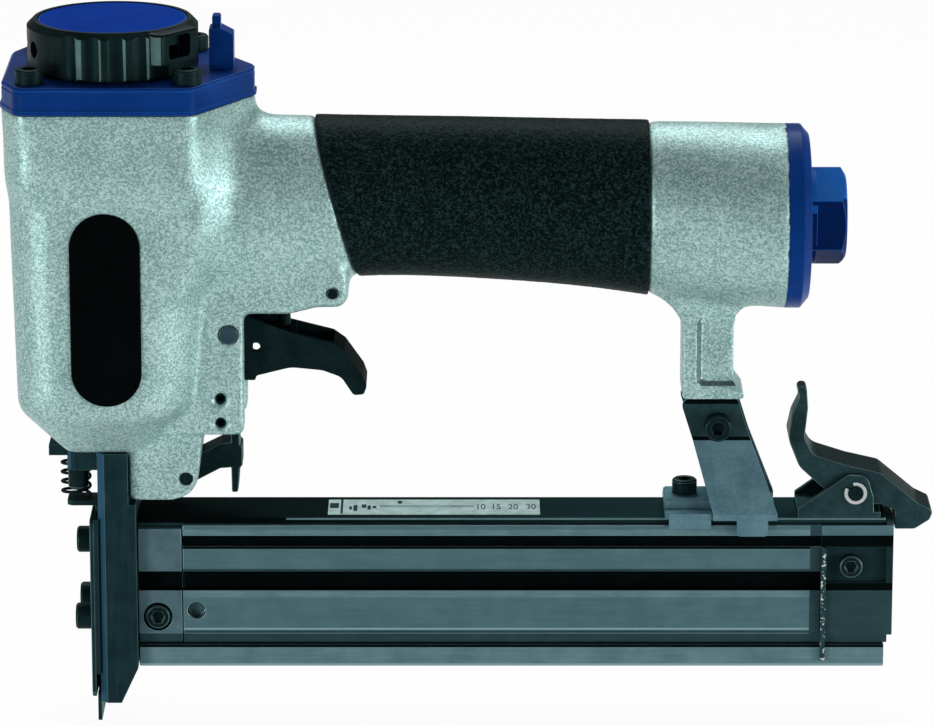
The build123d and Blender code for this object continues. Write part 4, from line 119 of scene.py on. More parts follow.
# Tones of the rail's black top: darkest for its painted shadow toward the front, palest toward the rear
RAIL_TOP_SHADOW = (0.0012, 0.003, 0.003)
RAIL_TOP = (0.005, 0.015, 0.016)
RAIL_TOP_LIGHT = (0.013, 0.036, 0.039)
# Darker tone for the painted shade in the end piece's recess
RECESS = (0.008, 0.024, 0.026), (0.012, 0.034, 0.036)
FRONT_BLOCK = (0.066, 0.126, 0.150), (0.12, 0.20, 0.235)
WORN_RIB = (0.022, 0.054, 0.061), (0.70, 0.76, 0.74)
STEEL = (0.52, 0.55, 0.55), (0.62, 0.65, 0.65)
ALLOY = (0.58, 0.60, 0.60), (0.68, 0.70, 0.70)
BRASS = (0.20, 0.105, 0.025), (0.30, 0.17, 0.045)
RUBBER = (0.012, 0.014, 0.014)
# Near black for painted shade in grooves, holes and lines under edges
PAINTED_SHADE_BLACK = (0.0012, 0.0022, 0.0022)
TEAL_SHINE = (0.35, 1.0, 1.0, 1.0)
BLUE_SHINE = (0.15, 0.45, 1.0, 1.0)
WHITE = (1, 1, 1, 1)

# Scales that leave a texture even or draw it out along one axis
EVEN = (1.0, 1.0, 1.0)
ALONG_X = (0.06, 1.0, 1.0)
ALONG_Z = (1.0, 1.0, 0.06)


def add_node(tree, kind, inputs, **settings):
    """A shader node with some of its settings, and its inputs either linked or set."""
    node = tree.nodes.new("ShaderNode" + kind)
    for name, value in settings.items():
        setattr(node, name, value)
    for name, value in inputs.items():
        socket = node.inputs[name]
        if isinstance(value, bpy.types.NodeSocket):
            tree.links.new(value, socket)
        else:
            socket.default_value = value
    return node


class Paint:
    """One procedural material: a shader, and textures in the object's own metres."""

    def __init__(self, name, colour, roughness, metallic=0.0, **sockets):
        self.material = bpy.data.materials.new(name)
        self.material.use_nodes = True
        self.tree = self.material.node_tree
        self.shader = self.tree.nodes["Principled BSDF"]
        self.shader.inputs["Base Color"].default_value = (*colour, 1)
        self.shader.inputs["Roughness"].default_value = roughness
        self.shader.inputs["Metallic"].default_value = metallic
        for socket, value in sockets.items():
            self.shader.inputs[socket.replace("_", " ")].default_value = value
        self.place = self.tree.nodes.new("ShaderNodeTexCoord").outputs["Object"]
        self.height = None

    def add(self, kind, inputs, **settings):
        return add_node(self.tree, kind, inputs, **settings)

    def stretched(self, scale):
        """The object's coordinates, squeezed along its axes."""
        return self.add("Mapping", {"Vector": self.place, "Scale": scale}).outputs["Vector"]

    def noise(self, size_mm, detail=2.0, place=None):
        """Cloudy noise whose blotches are about one size across."""
        inputs = {"Vector": place or self.place, "Scale": 1 / (size_mm * MM), "Detail": detail}
        return self.add("TexNoise", inputs).outputs["Fac"]

    def scatter(self, size_mm):
        """Cells about many scattered points."""
        return self.add("TexVoronoi", {"Vector": self.place, "Scale": 1 / (size_mm * MM)})

    def cells(self, size_mm):
        """Distance from the nearest of many scattered points."""
        return self.scatter(size_mm).outputs["Distance"]

    def grains(self, size_mm):
        """A grey of its own for each of many small cells."""
        colour = self.scatter(size_mm).outputs["Color"]
        return self.add("SeparateColor", {"Color": colour}).outputs["Red"]

    def ramp(self, value, *stops):
        """Colours or greys at places along a value."""
        node = self.add("ValToRGB", {"Fac": value})
        elements = node.color_ramp.elements
        while len(elements) < len(stops):
            elements.new(0.5)
        for element, (place, colour) in zip(elements, stops):
            element.position = place
            element.color = (*colour, 1) if isinstance(colour, tuple) else (colour, colour, colour, 1)
        return node.outputs["Color"]

    def blend(self, first, first_share, second, second_share):
        """Two values added by their shares."""
        parts = [
            self.math("MULTIPLY", value, share)
            for value, share in ((first, first_share), (second, second_share))
        ]
        return self.math("ADD", *parts)

    def math(self, operation, first, second):
        return self.add("Math", {0: first, 1: second}, operation=operation).outputs["Value"]

    def colour(self, value):
        self.tree.links.new(value, self.shader.inputs["Base Color"])
        return self

    def rough(self, value, low, high):
        """Roughness that follows a value."""
        self.tree.links.new(self.ramp(value, (0.3, low), (0.7, high)), self.shader.inputs["Roughness"])
        return self

    def bump(self, value, depth_mm, strength=1.0):
        inputs = {"Height": value, "Distance": depth_mm * MM, "Strength": strength}
        if self.height:
            inputs["Normal"] = self.height
        self.height = self.add("Bump", inputs).outputs["Normal"]
        self.tree.links.new(self.height, self.shader.inputs["Normal"])
        return self


def cast_paint(name, shade=1.0):
    """Sand-grained silver paint: light and dark specks over a soft cloud."""
    tones = (PAINT_DARK, PAINT_MIDDLE, PAINT_LIGHT)
    dark, middle, light = (tuple(shade * value for value in tone) for tone in tones)
    paint = Paint(name, middle, 0.48, 0.45, Specular_IOR_Level=0.4 * shade)
    fine = paint.noise(0.5)
    specks = paint.grains(0.42)
    broad = paint.noise(9.0)
    grain = paint.blend(fine, 0.55, specks, 0.30)
    mixed = paint.math("ADD", grain, paint.math("MULTIPLY", broad, 0.15))
    paint.colour(paint.ramp(mixed, (0.36, dark), (0.50, middle), (0.64, light)))
    paint.rough(broad, 0.42, 0.54)
    return paint.bump(paint.noise(0.7), 0.10, 0.5)


def gloss_paint(name, tones, gloss=0.07):
    """Smooth paint with a faint orange peel and a slow drift of colour."""
    colour, light = tones
    paint = Paint(name, colour, 0.34, Specular_IOR_Level=gloss, Specular_Tint=BLUE_SHINE)
    drift = paint.noise(14.0)
    paint.colour(paint.ramp(drift, (0.35, colour), (0.68, light)))
    paint.rough(paint.noise(5.0, 3.0), 0.28, 0.42)
    return paint.bump(paint.noise(1.6), 0.04, 0.35)


def grained_rubber():
    """Leather-like grain: small pebbles with creases between them."""
    paint = Paint("grip_rubber", GRIP, 0.5, Specular_IOR_Level=0.03, Specular_Tint=TEAL_SHINE)
    pebbles = paint.cells(0.8)
    creases = paint.noise(1.0, 3.0)
    mixed = paint.blend(creases, 0.6, paint.grains(0.4), 0.4)
    paint.colour(paint.ramp(mixed, (0.34, GRIP_DARK), (0.52, GRIP), (0.70, GRIP_LIGHT)))
    paint.rough(creases, 0.40, 0.58)
    paint.bump(pebbles, 0.16, 0.55)
    return paint.bump(creases, 0.22, 0.5)


def moulded(name, colour, roughness, grain_mm=0.5, depth_mm=0.03, gloss=0.08):
    """Moulded plastic or rubber with a fine even grain."""
    paint = Paint(name, colour, roughness, Specular_IOR_Level=gloss, Specular_Tint=TEAL_SHINE)
    drift = paint.noise(7.0)
    light = tuple(1.6 * value for value in colour)
    paint.colour(paint.ramp(drift, (0.35, colour), (0.70, light)))
    paint.rough(drift, roughness - 0.06, roughness + 0.08)
    return paint.bump(paint.noise(grain_mm), depth_mm, 0.5)


def coated_metal(name, tones, roughness, metallic, grain=EVEN, grain_mm=0.9, gloss=0.07):
    """Blackened, anodised or machined metal: a grain along one way, and worn patches."""
    colour, light = tones
    metal = Paint(name, colour, roughness, metallic, Specular_IOR_Level=gloss, Specular_Tint=TEAL_SHINE)
    lines = metal.noise(grain_mm, 3.0, metal.stretched(grain))
    mixed = metal.blend(lines, 0.4, metal.noise(6.0, 3.0), 0.6)
    metal.colour(metal.ramp(mixed, (0.38, colour), (0.72, light)))
    metal.rough(mixed, roughness - 0.08, roughness + 0.10)
    return metal.bump(lines, 0.015, 0.5)


def flecked(name, tones):
    """Dark metal with bare flecks where the coating has chipped off."""
    colour, fleck = tones
    metal = Paint(name, colour, 0.5, 0.2, Specular_IOR_Level=0.07, Specular_Tint=TEAL_SHINE)
    chips = metal.noise(0.9, 3.0)
    metal.colour(metal.ramp(chips, (0.56, colour), (0.64, fleck)))
    return metal.bump(chips, 0.03, 0.5)


def shaded_top():
    """Black-coated strip with a painted shadow: darkest at its front end, under the casting, and paler
    toward the rear.
    """
    metal = Paint("rail_top", RAIL_TOP, 0.6, 0.1, Specular_IOR_Level=0.01, Specular_Tint=TEAL_SHINE)
    along = metal.add("SeparateXYZ", {"Vector": metal.place}).outputs["X"]
    streaks = metal.noise(2.0, 3.0, metal.stretched(ALONG_X))
    # Painted shadow: darker toward the front end, with streaks along the strip
    worn = metal.blend(along, 5.0, streaks, 0.2)
    metal.colour(metal.ramp(worn, (0.25, RAIL_TOP_SHADOW), (0.55, RAIL_TOP), (0.90, RAIL_TOP_LIGHT)))
    return metal.bump(streaks, 0.015, 0.5)


def printed_label():
    """Pale matt strip with a slightly soiled surface."""
    paint = Paint("label_paper", LABEL, 0.55)
    soil = paint.noise(3.0, 4.0)
    shade = tuple(0.75 * value for value in LABEL)
    paint.colour(paint.ramp(soil, (0.38, shade), (0.62, LABEL)))
    return paint.bump(paint.noise(0.5), 0.01, 0.4)


# Finishes by slot. A slot's edge finish, partly wear and partly a painted highlight, has its name with
# _edge after it.
PAINTS = {
    "cast_grey": cast_paint("cast_paint"),
    "cast_soiled": cast_paint("cast_paint_painted_shade", POCKET_PAINTED_SHADE),
    "blue": gloss_paint("blue_paint", BLUE),
    "blue_edge": gloss_paint("blue_paint_edge", BLUE_EDGE),
    "blue_lit": gloss_paint("blue_paint_lit", BLUE_LIT, 0.03),
    "blue_deep": gloss_paint("blue_paint_deep", BLUE_DEEP, 0.01),
    "disc_blue": gloss_paint("disc_paint", DISC, 0.004),
    "grip": grained_rubber(),
    "black_plastic": moulded("black_plastic", BLACK_PLASTIC, 0.42),
    "ridge": moulded("deflector_ridge", RIDGE, 0.38),
    "ridge_lit": moulded("deflector_ridge_highlight", RIDGE_LIT, 0.38),
    "badge": moulded("badge_gloss", BADGE, 0.3, 2.5, 0.004, 0.03),
    "label": printed_label(),
    "ink": moulded("label_ink", INK, 0.6),
    "faint_ink": moulded("label_faint_ink", FAINT_INK, 0.6),
    "black_steel": coated_metal("black_oxide", BLACK_STEEL, 0.42, 0.1),
    "black_steel_edge": coated_metal("black_oxide_edge", BLACK_STEEL_EDGE, 0.34, 0.6),
    "black_deep": coated_metal("black_oxide_deep", BLACK_DEEP, 0.6, 0.0, gloss=0.01),
    "pin_steel": coated_metal("pin_steel", PIN, 0.45, 0.3),
    "black_sheet": coated_metal("coated_sheet", SHEET, 0.42, 0.35),
    "black_sheet_edge": coated_metal("coated_sheet_edge", SHEET_EDGE, 0.36, 0.6),
    "bracket_sheet": coated_metal("bracket_sheet", BRACKET, 0.42, 0.35),
    "nose_steel": coated_metal("nose_steel", NOSE, 0.42, 0.2, ALONG_Z),
    "nose_steel_edge": coated_metal("nose_steel_edge", NOSE_EDGE, 0.34, 0.6),
    "nose_lit": coated_metal("nose_steel_highlight", NOSE_LIT, 0.42, 0.2, ALONG_Z),
    "magazine_alloy": coated_metal("anodised_cover", MAGAZINE, 0.44, 0.3, ALONG_X),
    "magazine_alloy_edge": coated_metal("anodised_cover_edge", MAGAZINE_EDGE, 0.34, 0.6, ALONG_X),
    "magazine_light": coated_metal("cover_painted_light", MAGAZINE_PAINTED_LIGHT, 0.42, 0.3, ALONG_X),
    "rail_alloy": coated_metal("anodised_rail", RAIL, 0.44, 0.3, ALONG_X),
    "rail_alloy_edge": coated_metal("anodised_rail_edge", RAIL_EDGE, 0.36, 0.6, ALONG_X),
    "rail_top": shaded_top(),
    "recess": coated_metal("end_recess", RECESS, 0.5, 0.2, ALONG_X),
    "front_block": coated_metal("front_block", FRONT_BLOCK, 0.46, 0.3, grain_mm=0.4),
    "worn_rib": flecked("worn_rib", WORN_RIB),
    "steel": coated_metal("bright_steel", STEEL, 0.30, 1.0, ALONG_Z),
    "bare_alloy": coated_metal("machined_alloy", ALLOY, 0.34, 1.0),
    "brass": coated_metal("turned_brass", BRASS, 0.42, 0.9),
    "seal": moulded("seal_rubber", RUBBER, 0.6),
    "grime": moulded("groove_painted_shade", PAINTED_SHADE_BLACK, 0.7, 0.9, 0.02, 0.02),
}

RECORD = frame["record"]
SLOT_OF = {part["node"]: part["material_slot"] for part in RECORD["subparts"]}
BODY_OF = {node: body for body, nodes in RECORD["behaviour"]["bodies"].items() for node in nodes}


def paint_of(slot):
    return PAINTS[slot].material


def new_object(name, mesh):
    piece = bpy.data.objects.new(name, mesh)
    bpy.context.scene.collection.objects.link(piece)
    return piece


def settle(piece, node):
    """The piece stands for a node: it moves with the node's body, and the node's own part is hidden."""
    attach(piece, BODY_OF[node])
    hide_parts(node)
    return piece


# Points nearer than this are one, and faces within this angle are one face
WELD = 0.002 * MM
FLAT_ANGLE = math.radians(0.6)


def welded_copy(node):
    """A node's shape as an editable mesh with its coincident points joined."""
    shape = bmesh.new()
    shape.from_mesh(frame["nodes"][node].data)
    bmesh.ops.remove_doubles(shape, verts=shape.verts, dist=WELD)
    bmesh.ops.dissolve_degenerate(shape, edges=shape.edges, dist=WELD)
    return shape


def as_piece(shape, name):
    """An editable mesh made into an object of its own."""
    mesh = bpy.data.meshes.new(name)
    shape.to_mesh(mesh)
    shape.free()
    return new_object(name, mesh)


def crisp(piece, angle_deg):
    """Smooth shading that breaks at edges sharper than an angle."""
    mesh = piece.data
    mesh.polygons.foreach_set("use_smooth", [True] * len(mesh.polygons))
    mesh.set_sharp_from_angle(angle=math.radians(angle_deg))
    flat = piece.modifiers.new("face_normals", "WEIGHTED_NORMAL")
    flat.keep_sharp = True
    flat.weight = 60


def repaint(piece, paint, test):
    """Faces whose middle, in mm, and normal pass a test take another paint."""
    mesh = piece.data
    mesh.materials.append(paint_of(paint))
    for face in mesh.polygons:
        if test(face.center / MM, face.normal):
            face.material_index = len(mesh.materials) - 1


def cut(piece, axis, places_mm):
    """Cuts the faces of a piece along planes across one axis."""
    shape = bmesh.new()
    shape.from_mesh(piece.data)
    across = Vector([float(axis == name) for name in "xyz"])
    for place in places_mm:
        bmesh.ops.bisect_plane(
            shape,
            geom=shape.verts[:] + shape.edges[:] + shape.faces[:],
            plane_co=across * place * MM,
            plane_no=across,
            dist=1e-7,
        )
    shape.to_mesh(piece.data)
    shape.free()


def softened(node, width_mm, paint, sharp_deg):
    """A copy of a node with its sharp edges rounded, and the rounding in an edge finish that is partly wear
    and partly a painted highlight.
    """
    shape = welded_copy(node)
    bmesh.ops.dissolve_limit(
        shape,
        angle_limit=FLAT_ANGLE,
        verts=shape.verts,
        edges=shape.edges,
        delimit={"NORMAL"},
    )
    limit = math.radians(sharp_deg)
    edges = [edge for edge in shape.edges if edge.is_manifold and edge.calc_face_angle() > limit]
    bmesh.ops.bevel(
        shape,
        geom=edges,
        offset=width_mm * MM,
        offset_type="OFFSET",
        segments=2,
        profile=0.5,
        affect="EDGES",
        clamp_overlap=True,
        material=1,
        loop_slide=True,
    )
    bmesh.ops.remove_doubles(shape, verts=shape.verts, dist=WELD)
    bmesh.ops.triangulate(shape, faces=[face for face in shape.faces if len(face.verts) > 4])
    bmesh.ops.recalc_face_normals(shape, faces=shape.faces)
    piece = as_piece(shape, node + "_soft")
    slot = SLOT_OF[node]
    edge_paint = NODE_EDGE.get(node, slot + "_edge")
    piece.data.materials.append(paint_of(paint or slot))
    piece.data.materials.append(paint_of(edge_paint if edge_paint in PAINTS else slot))
    crisp(piece, 35)
    return settle(piece, node)


# Casting: one smooth skin, with the hollows where head, neck and bell meet filled softly

def fade(value, low, high):
    """0 below low, 1 above high, smooth between."""
    t = np.clip((value - low) / (high - low), 0, 1)
    return t * t * (3 - 2 * t)


def rise(value, height, middle, breadth):
    """A smooth hill of one height about a middle."""
    return height * np.exp(-((value - middle) / breadth) ** 2)


def vertex_array(mesh):
    points = np.empty(len(mesh.vertices) * 3)
    mesh.vertices.foreach_get("co", points)
    return points.reshape(-1, 3)


def normal_array(mesh):
    normals = np.empty(len(mesh.vertices) * 3)
    mesh.vertices.foreach_get("normal", normals)
    return normals.reshape(-1, 3)


def put_vertices(mesh, points):
    mesh.vertices.foreach_set("co", points.ravel())
    mesh.update()


def neighbour_mean(points, edges, counts):
    total = np.empty_like(points)
    for axis in range(3):
        values = points[:, axis]
        total[:, axis] = np.bincount(edges[:, 0], values[edges[:, 1]], len(points))
        total[:, axis] += np.bincount(edges[:, 1], values[edges[:, 0]], len(points))
    return total / counts[:, None]


RELAX_STEP = 0.6
NORMALS_EVERY = 6


def relax(mesh, rounds, weight, convex_share):
    """Moves points toward their neighbours: fully into hollows, partly off ridges."""
    edges = np.empty(len(mesh.edges) * 2, dtype=np.int32)
    mesh.edges.foreach_get("vertices", edges)
    edges = edges.reshape(-1, 2)
    counts = np.bincount(edges.ravel(), minlength=len(mesh.vertices)).astype(float)
    points = vertex_array(mesh)
    for step in range(rounds):
        if step % NORMALS_EVERY == 0:
            put_vertices(mesh, points)
            normals = normal_array(mesh)
        move = neighbour_mean(points, edges, counts) - points
        outward = np.einsum("ij,ij->i", move, normals) > 0
        share = np.where(outward, 1.0, convex_share)
        points = points + RELAX_STEP * move * (weight * share)[:, None]
    put_vertices(mesh, points)


def remeshed(node, name, voxel_mm):
    """A node's shape rebuilt as an even skin of small quads."""
    piece = as_piece(welded_copy(node), name)
    grid = piece.modifiers.new("grid", "REMESH")
    grid.mode = "VOXEL"
    grid.voxel_size = voxel_mm * MM
    depsgraph = bpy.context.evaluated_depsgraph_get()
    piece.data = bpy.data.meshes.new_from_object(piece.evaluated_get(depsgraph))
    piece.modifiers.clear()
    piece.data.name = name
    return piece


HOUSING_VOXEL = 0.75
# Bore of the head and air chamber of the handle, which keep their machined walls
BORE_R = 22.7
BORE_FLOOR_Z = 71.0
CHAMBER_FRONT_X = 26.0
CHAMBER_Z = 128.0
CHAMBER_FLOOR_Z = 105.0
CHAMBER_HALF_WIDTH = 17.0
# Spans along x or z over which a part of the casting begins or ends
HEAD_TOP = (153.5, 158.2)
BELL_REAR = (165.5, 169.5)
BELL_FRONT = (124.0, 138.0)
BELL_FLOOR = (103.0, 108.0)
NECK_FRONT = (8.0, 20.0)
NECK_REAR = (44.0, 50.0)
NECK_FLOOR = (106.0, 114.0)
COLLAR_FLOOR = (128.0, 133.0)
COLLAR_REAR = (30.0, 40.0)
STRUT_FRONT = (140.0, 143.0)
STRUT_TOP = (102.5, 105.5)
# Where the head ends and the neck begins, as pairs of height and place along the tool
SHOULDER_Z = (98.0, 111.8, 120.6, 129.6, 136.5, 150.8, 158.5)
SHOULDER_X = (18.5, 21.2, 22.5, 23.8, 25.5, 32.0, 36.0)
# Swell before the shoulder and dip behind it: height, place and breadth, then its spans
SWELL = (1.9, -2.0, 4.2)
DIP = (1.3, 6.5, 4.0)
SWELL_FLOOR = (107.0, 113.0)
SWELL_EASE = (136.0, 144.0)
SWELL_TOP = (149.0, 156.0)
SWELL_SIDE = (9.0, 14.0)
# Rounded corners of the collar
CORNER_FLOOR = (133.0, 139.0)
CORNER_TOP = (150.0, 156.0)
CORNER_SIDE = (8.0, 14.0)
CORNER_END = (7.0, 11.0)
CORNER_REAR = (33.0, 40.0)
# Rear edge of the strut above its toe, as pairs of height and place along the tool
TOE_Z = (81.2, 84.6, 100.0, 103.0)
TOE_X = (160.2, 157.4, 157.4, 170.0)
# Pocket in each side of the strut: its front, floor, upper end, depth and length
POCKET_X = 147.9
POCKET_Z = 84.0
POCKET_TOP_Z = 102.4
POCKET_Y = (6.4, 7.75)
POCKET_LENGTH = 9.6
POCKET_STEP = 1.2
STEP_SLOPE = 0.25


def strut_step(place, normal):
    """The two steps of the pocket, which take a painted shade."""
    sunk = POCKET_Y[0] < abs(place.y) < POCKET_Y[1]
    front = abs(place.x - POCKET_X) < POCKET_STEP and normal.x > STEP_SLOPE
    floor = abs(place.z - POCKET_Z) < POCKET_STEP and normal.z > STEP_SLOPE
    beside = POCKET_Z < place.z < POCKET_TOP_Z
    along = POCKET_X < place.x < POCKET_X + POCKET_LENGTH
    return sunk and (front and beside or floor and along)


def soft_housing():
    """The casting as one skin, with soft blends and a swell on each side of the head."""
    piece = remeshed("housing", "housing_skin", HOUSING_VOXEL)
    mesh = piece.data
    x, y, z = (vertex_array(mesh) / MM).T
    normals = normal_array(mesh)
    inward = normals[:, 1] * y + normals[:, 2] * (z - CHAMBER_Z) < 0
    chamber = inward & (x > CHAMBER_FRONT_X) & (np.abs(y) < CHAMBER_HALF_WIDTH) & (z > CHAMBER_FLOOR_Z)
    outside = ((np.hypot(x, y) > BORE_R) | (z < BORE_FLOOR_Z)) & ~chamber
    top = 1 - fade(z, *HEAD_TOP)
    rear = 1 - fade(x, *BELL_REAR)
    neck = fade(x, *NECK_FRONT) * (1 - fade(x, *NECK_REAR)) * fade(z, *NECK_FLOOR)
    collar = fade(z, *COLLAR_FLOOR) * (1 - fade(x, *COLLAR_REAR))
    bell = fade(x, *BELL_FRONT) * fade(z, *BELL_FLOOR)
    strut = fade(x, *STRUT_FRONT) * (1 - fade(z, *STRUT_TOP))
    blend = np.clip(0.04 * (1 - strut) + neck + 0.5 * collar + 0.7 * bell, 0, 1)
    relax(mesh, rounds=110, weight=outside * top * rear * blend, convex_share=0.12)

    points = vertex_array(mesh) / MM
    x, y, z = points.T
    past = x - np.interp(z, SHOULDER_Z, SHOULDER_X)
    swell = rise(past, *SWELL) - rise(past, *DIP)
    height = fade(z, *SWELL_FLOOR) * (1 - 0.5 * fade(z, *SWELL_EASE)) * (1 - fade(z, *SWELL_TOP))
    side = fade(np.abs(y), *SWELL_SIDE) * np.sign(y)
    points[:, 1] += outside * height * side * swell
    toe = np.where(strut > 0.5, np.interp(z, TOE_Z, TOE_X), np.inf)
    points[:, 0] = np.minimum(points[:, 0], toe)
    put_vertices(mesh, points * MM)

    corner = fade(z, *CORNER_FLOOR) * (1 - fade(z, *CORNER_TOP))
    corner = corner * fade(np.abs(y), *CORNER_SIDE) * fade(np.abs(x), *CORNER_END)
    rounding = 0.9 * outside * corner * (1 - fade(x, *CORNER_REAR))
    relax(mesh, rounds=70, weight=rounding, convex_share=1.0)
    relax(mesh, rounds=6, weight=0.6 * outside * top * rear * (1 - 0.8 * strut), convex_share=1.0)
    mesh.materials.clear()
    mesh.materials.append(paint_of("cast_grey"))
    # Painted shade on the two steps of the strut's pocket
    repaint(piece, "cast_soiled", strut_step)
    crisp(piece, 50)
    return settle(piece, "housing")


# Grain of the grip, in mm: sizes of pebbles and creases, and how deep each goes
GRIP_VOXEL = 0.6
PEBBLE_SIZE = 0.9
PEBBLE_DEPTH = 0.03
CREASE_SIZE = 1.5
CREASE_DEPTH = 0.05
CREASE_BREADTH = 0.25
CREASE_OFFSET = Vector((7, 3, 1))


def grained_grip():
    """The rubber sleeve with its pebbled grain cut into the skin."""
    piece = remeshed("handle_grip", "handle_grip_grain", GRIP_VOXEL)
    mesh = piece.data
    relax(mesh, rounds=3, weight=np.ones(len(mesh.vertices)), convex_share=1.0)
    points = vertex_array(mesh)
    normals = normal_array(mesh)
    depth = np.empty(len(points))
    for number, point in enumerate(points):
        place = Vector(point) / MM
        pebble = noise.noise(place / PEBBLE_SIZE)
        ridge = abs(noise.noise(place / CREASE_SIZE + CREASE_OFFSET))
        crease = CREASE_DEPTH * max(0.0, CREASE_BREADTH - ridge) / CREASE_BREADTH
        depth[number] = PEBBLE_DEPTH * pebble - crease - PEBBLE_DEPTH
    put_vertices(mesh, points + normals * depth[:, None] * MM)
    mesh.materials.clear()
    mesh.materials.append(paint_of("grip"))
    crisp(piece, 60)
    return settle(piece, "handle_grip")


soft_housing()
grained_grip()

# Rigid pieces whose edges are rounded, with the width of the rounding in mm
SOFT_EDGES = {
    "cylinder_cap": 0.45,
    "deflector_disc": 0.35,
    "exhaust_deflector": 0.25,
    "end_cap": 0.4,
    "inlet_fitting": 0.35,
    "badge_plate": 0.25,
    "trigger": 0.5,
    "safety_lever": 0.35,
    "nose_block": 0.4,
    "nose_cover": 0.2,
    "nose_spacers": 0.1,
    "contact_foot": 0.15,
    "magazine_rail": 0.25,
    "magazine_front_block": 0.25,
    "magazine_cover": 0.25,
    "magazine_end_piece": 0.25,
    "rear_bracket": 0.3,
    "latch_bracket": 0.25,
    "latch_lever": 0.4,
    "latch_pin": 0.2,
    "cap_bolts": 0.2,
    "nose_bolts": 0.2,
    "nose_flange_bolts": 0.15,
    "front_block_bolt": 0.15,
    "end_piece_bolt": 0.15,
    "bracket_bolt": 0.15,
    "bracket_nut": 0.2,
    "clamp_bolt": 0.15,
    "trigger_pin": 0.2,
    "trigger_valve_body": 0.2,
    "retaining_pin": 0.15,
    "scale_label": 0.06,
}
# Edges sharper than this are rounded, in degrees
SHARP_EDGE = 28.0
FINE_EDGES = {"exhaust_deflector": 11.0}
NODE_EDGE = {"trigger": "black_steel"}
# The bracket's sheet and the disc's blue below are painted lighter as painted light from above
OWN_PAINT = {
    "trigger_pin": "pin_steel",
    "inlet_fitting": "blue_deep",
    "rear_bracket": "bracket_sheet",
    "magazine_front_block": "front_block",
    "deflector_disc": "disc_blue",
}
soft = {
    node: softened(node, width, OWN_PAINT.get(node), FINE_EDGES.get(node, SHARP_EDGE))
    for node, width in SOFT_EDGES.items()
}

# Magazine: painted shade in the grooves and holes, bands of painted light and shade, a black top darkened
# toward the front by a painted shadow, bare flecks on the pull rib
RIB_Y = -9.9
GROOVE_FLOOR_Y = 9.3
GROOVE_END_Y = 6.4
LOW_GROOVE = (15.0, 17.9)
MIDDLE_GROOVE = (29.4, 34.7)
HIGH_GROOVE = (41.3, 44.3)
FLANGE_Z = 47.2
RIB_SHADE_X = 177.6
RAIL_SHADE_X = 43.0
# Holes: place along the tool, height, radius
COVER_HOLE = (19.7, 24.3, 2.4)
SCREW_SEAT = (9.7, 22.4, 3.9)
# Bands along the upright sides: lower height, upper height, paint. All of them are painted light or shade:
# painted shade at the foot of the low groove, along its upper lip, at the foot of band two and under the
# high groove; a painted highlight line above the low groove's lip; and lighter strips of painted light
# under the middle groove and on the lower half of the top band.
COVER_BANDS = (
    (14.0, 15.8, "grime"),
    (18.0, 18.6, "rail_alloy"),
    (18.9, 19.35, "magazine_alloy_edge"),
    (27.6, 29.3, "magazine_light"),
    (34.6, 35.3, "rail_alloy"),
    (40.7, 41.4, "grime"),
    (44.4, 45.8, "magazine_light"),
)
# The rail's bands: a painted highlight line at its lower edge, its lower side painted lighter as a painted
# reflection of the floor, painted shade at the low groove's foot, the flange's near face in the black top
# paint, and a painted highlight line along the flange's top edge.
RAIL_BANDS = (
    (9.2, 9.7, "magazine_alloy_edge"),
    (9.7, 14.1, "magazine_light"),
    (14.1, 15.0, "grime"),
    (47.2, 48.2, "rail_top"),
    (48.2, 48.55, "rail_alloy_edge"),
)
# The end piece's bands: painted shade in and beside its grooves, its recess painted darker as painted
# shade, and its top band in the cover's tone.
END_BANDS = (
    (29.5, 31.5, "grime"),
    (31.5, 41.3, "recess"),
    (41.3, 44.3, "grime"),
    (44.3, 47.0, "magazine_alloy"),
)
# The bracket's bands by height: a painted shadow line, the upper end in the darker coated sheet, and a
# painted shadow under the strut.
BRACKET_BANDS = (
    (68.9, 69.9, "grime"),
    (69.9, 78.6, "black_sheet"),
    (78.6, 80.0, "grime"),
)
# Share of a face's normal along an axis: a face square to it, and one about halfway over
SQUARE = 0.9
ASLANT = 0.5


def in_groove(place, normal, groove):
    sunk = GROOVE_END_Y < abs(place.y) < GROOVE_FLOOR_Y
    return sunk and abs(normal.x) < ASLANT and groove[0] < place.z < groove[1]


def deep_groove(place, normal):
    return in_groove(place, normal, HIGH_GROOVE) or in_groove(place, normal, MIDDLE_GROOVE)


def in_bore(place, normal, bore):
    x, z, radius = bore
    return abs(normal.y) < ASLANT and math.hypot(place.x - x, place.z - z) < radius


def banded(piece, bands):
    """Cuts a piece at the heights of its bands and paints its upright sides with them."""
    cut(piece, "z", sorted({height for low, high, paint in bands for height in (low, high)}))
    for low, high, paint in bands:
        repaint(piece, paint, lambda place, normal: low < place.z < high and abs(normal.y) > SQUARE)


cover = soft["magazine_cover"]
rail = soft["magazine_rail"]
block = soft["magazine_front_block"]
end_piece = soft["magazine_end_piece"]
banded(cover, COVER_BANDS)
banded(rail, RAIL_BANDS)
banded(end_piece, END_BANDS)
# The front of the rail's flange, up to a place along the tool, takes the black top paint as a painted
# shadow of the casting
cut(rail, "x", [RAIL_SHADE_X])
repaint(rail, "rail_top", lambda place, normal: place.x < RAIL_SHADE_X and place.z > FLANGE_Z)
# Painted shadow on the cover beside the pull rib, at its rear end
cut(cover, "x", [RIB_SHADE_X])
repaint(cover, "rail_alloy", lambda place, normal: place.x > RIB_SHADE_X and normal.y < -SQUARE)
# Painted shade in the deep grooves, and in the anodised rail's darker colour in the low groove
for piece in (cover, rail, block):
    repaint(piece, "grime", deep_groove)
    repaint(piece, "rail_alloy", lambda place, normal: in_groove(place, normal, LOW_GROOVE))
# The rail's top faces in the black top paint, with its painted shadow toward the front
repaint(rail, "rail_top", lambda place, normal: place.z > FLANGE_Z and normal.z > SQUARE)
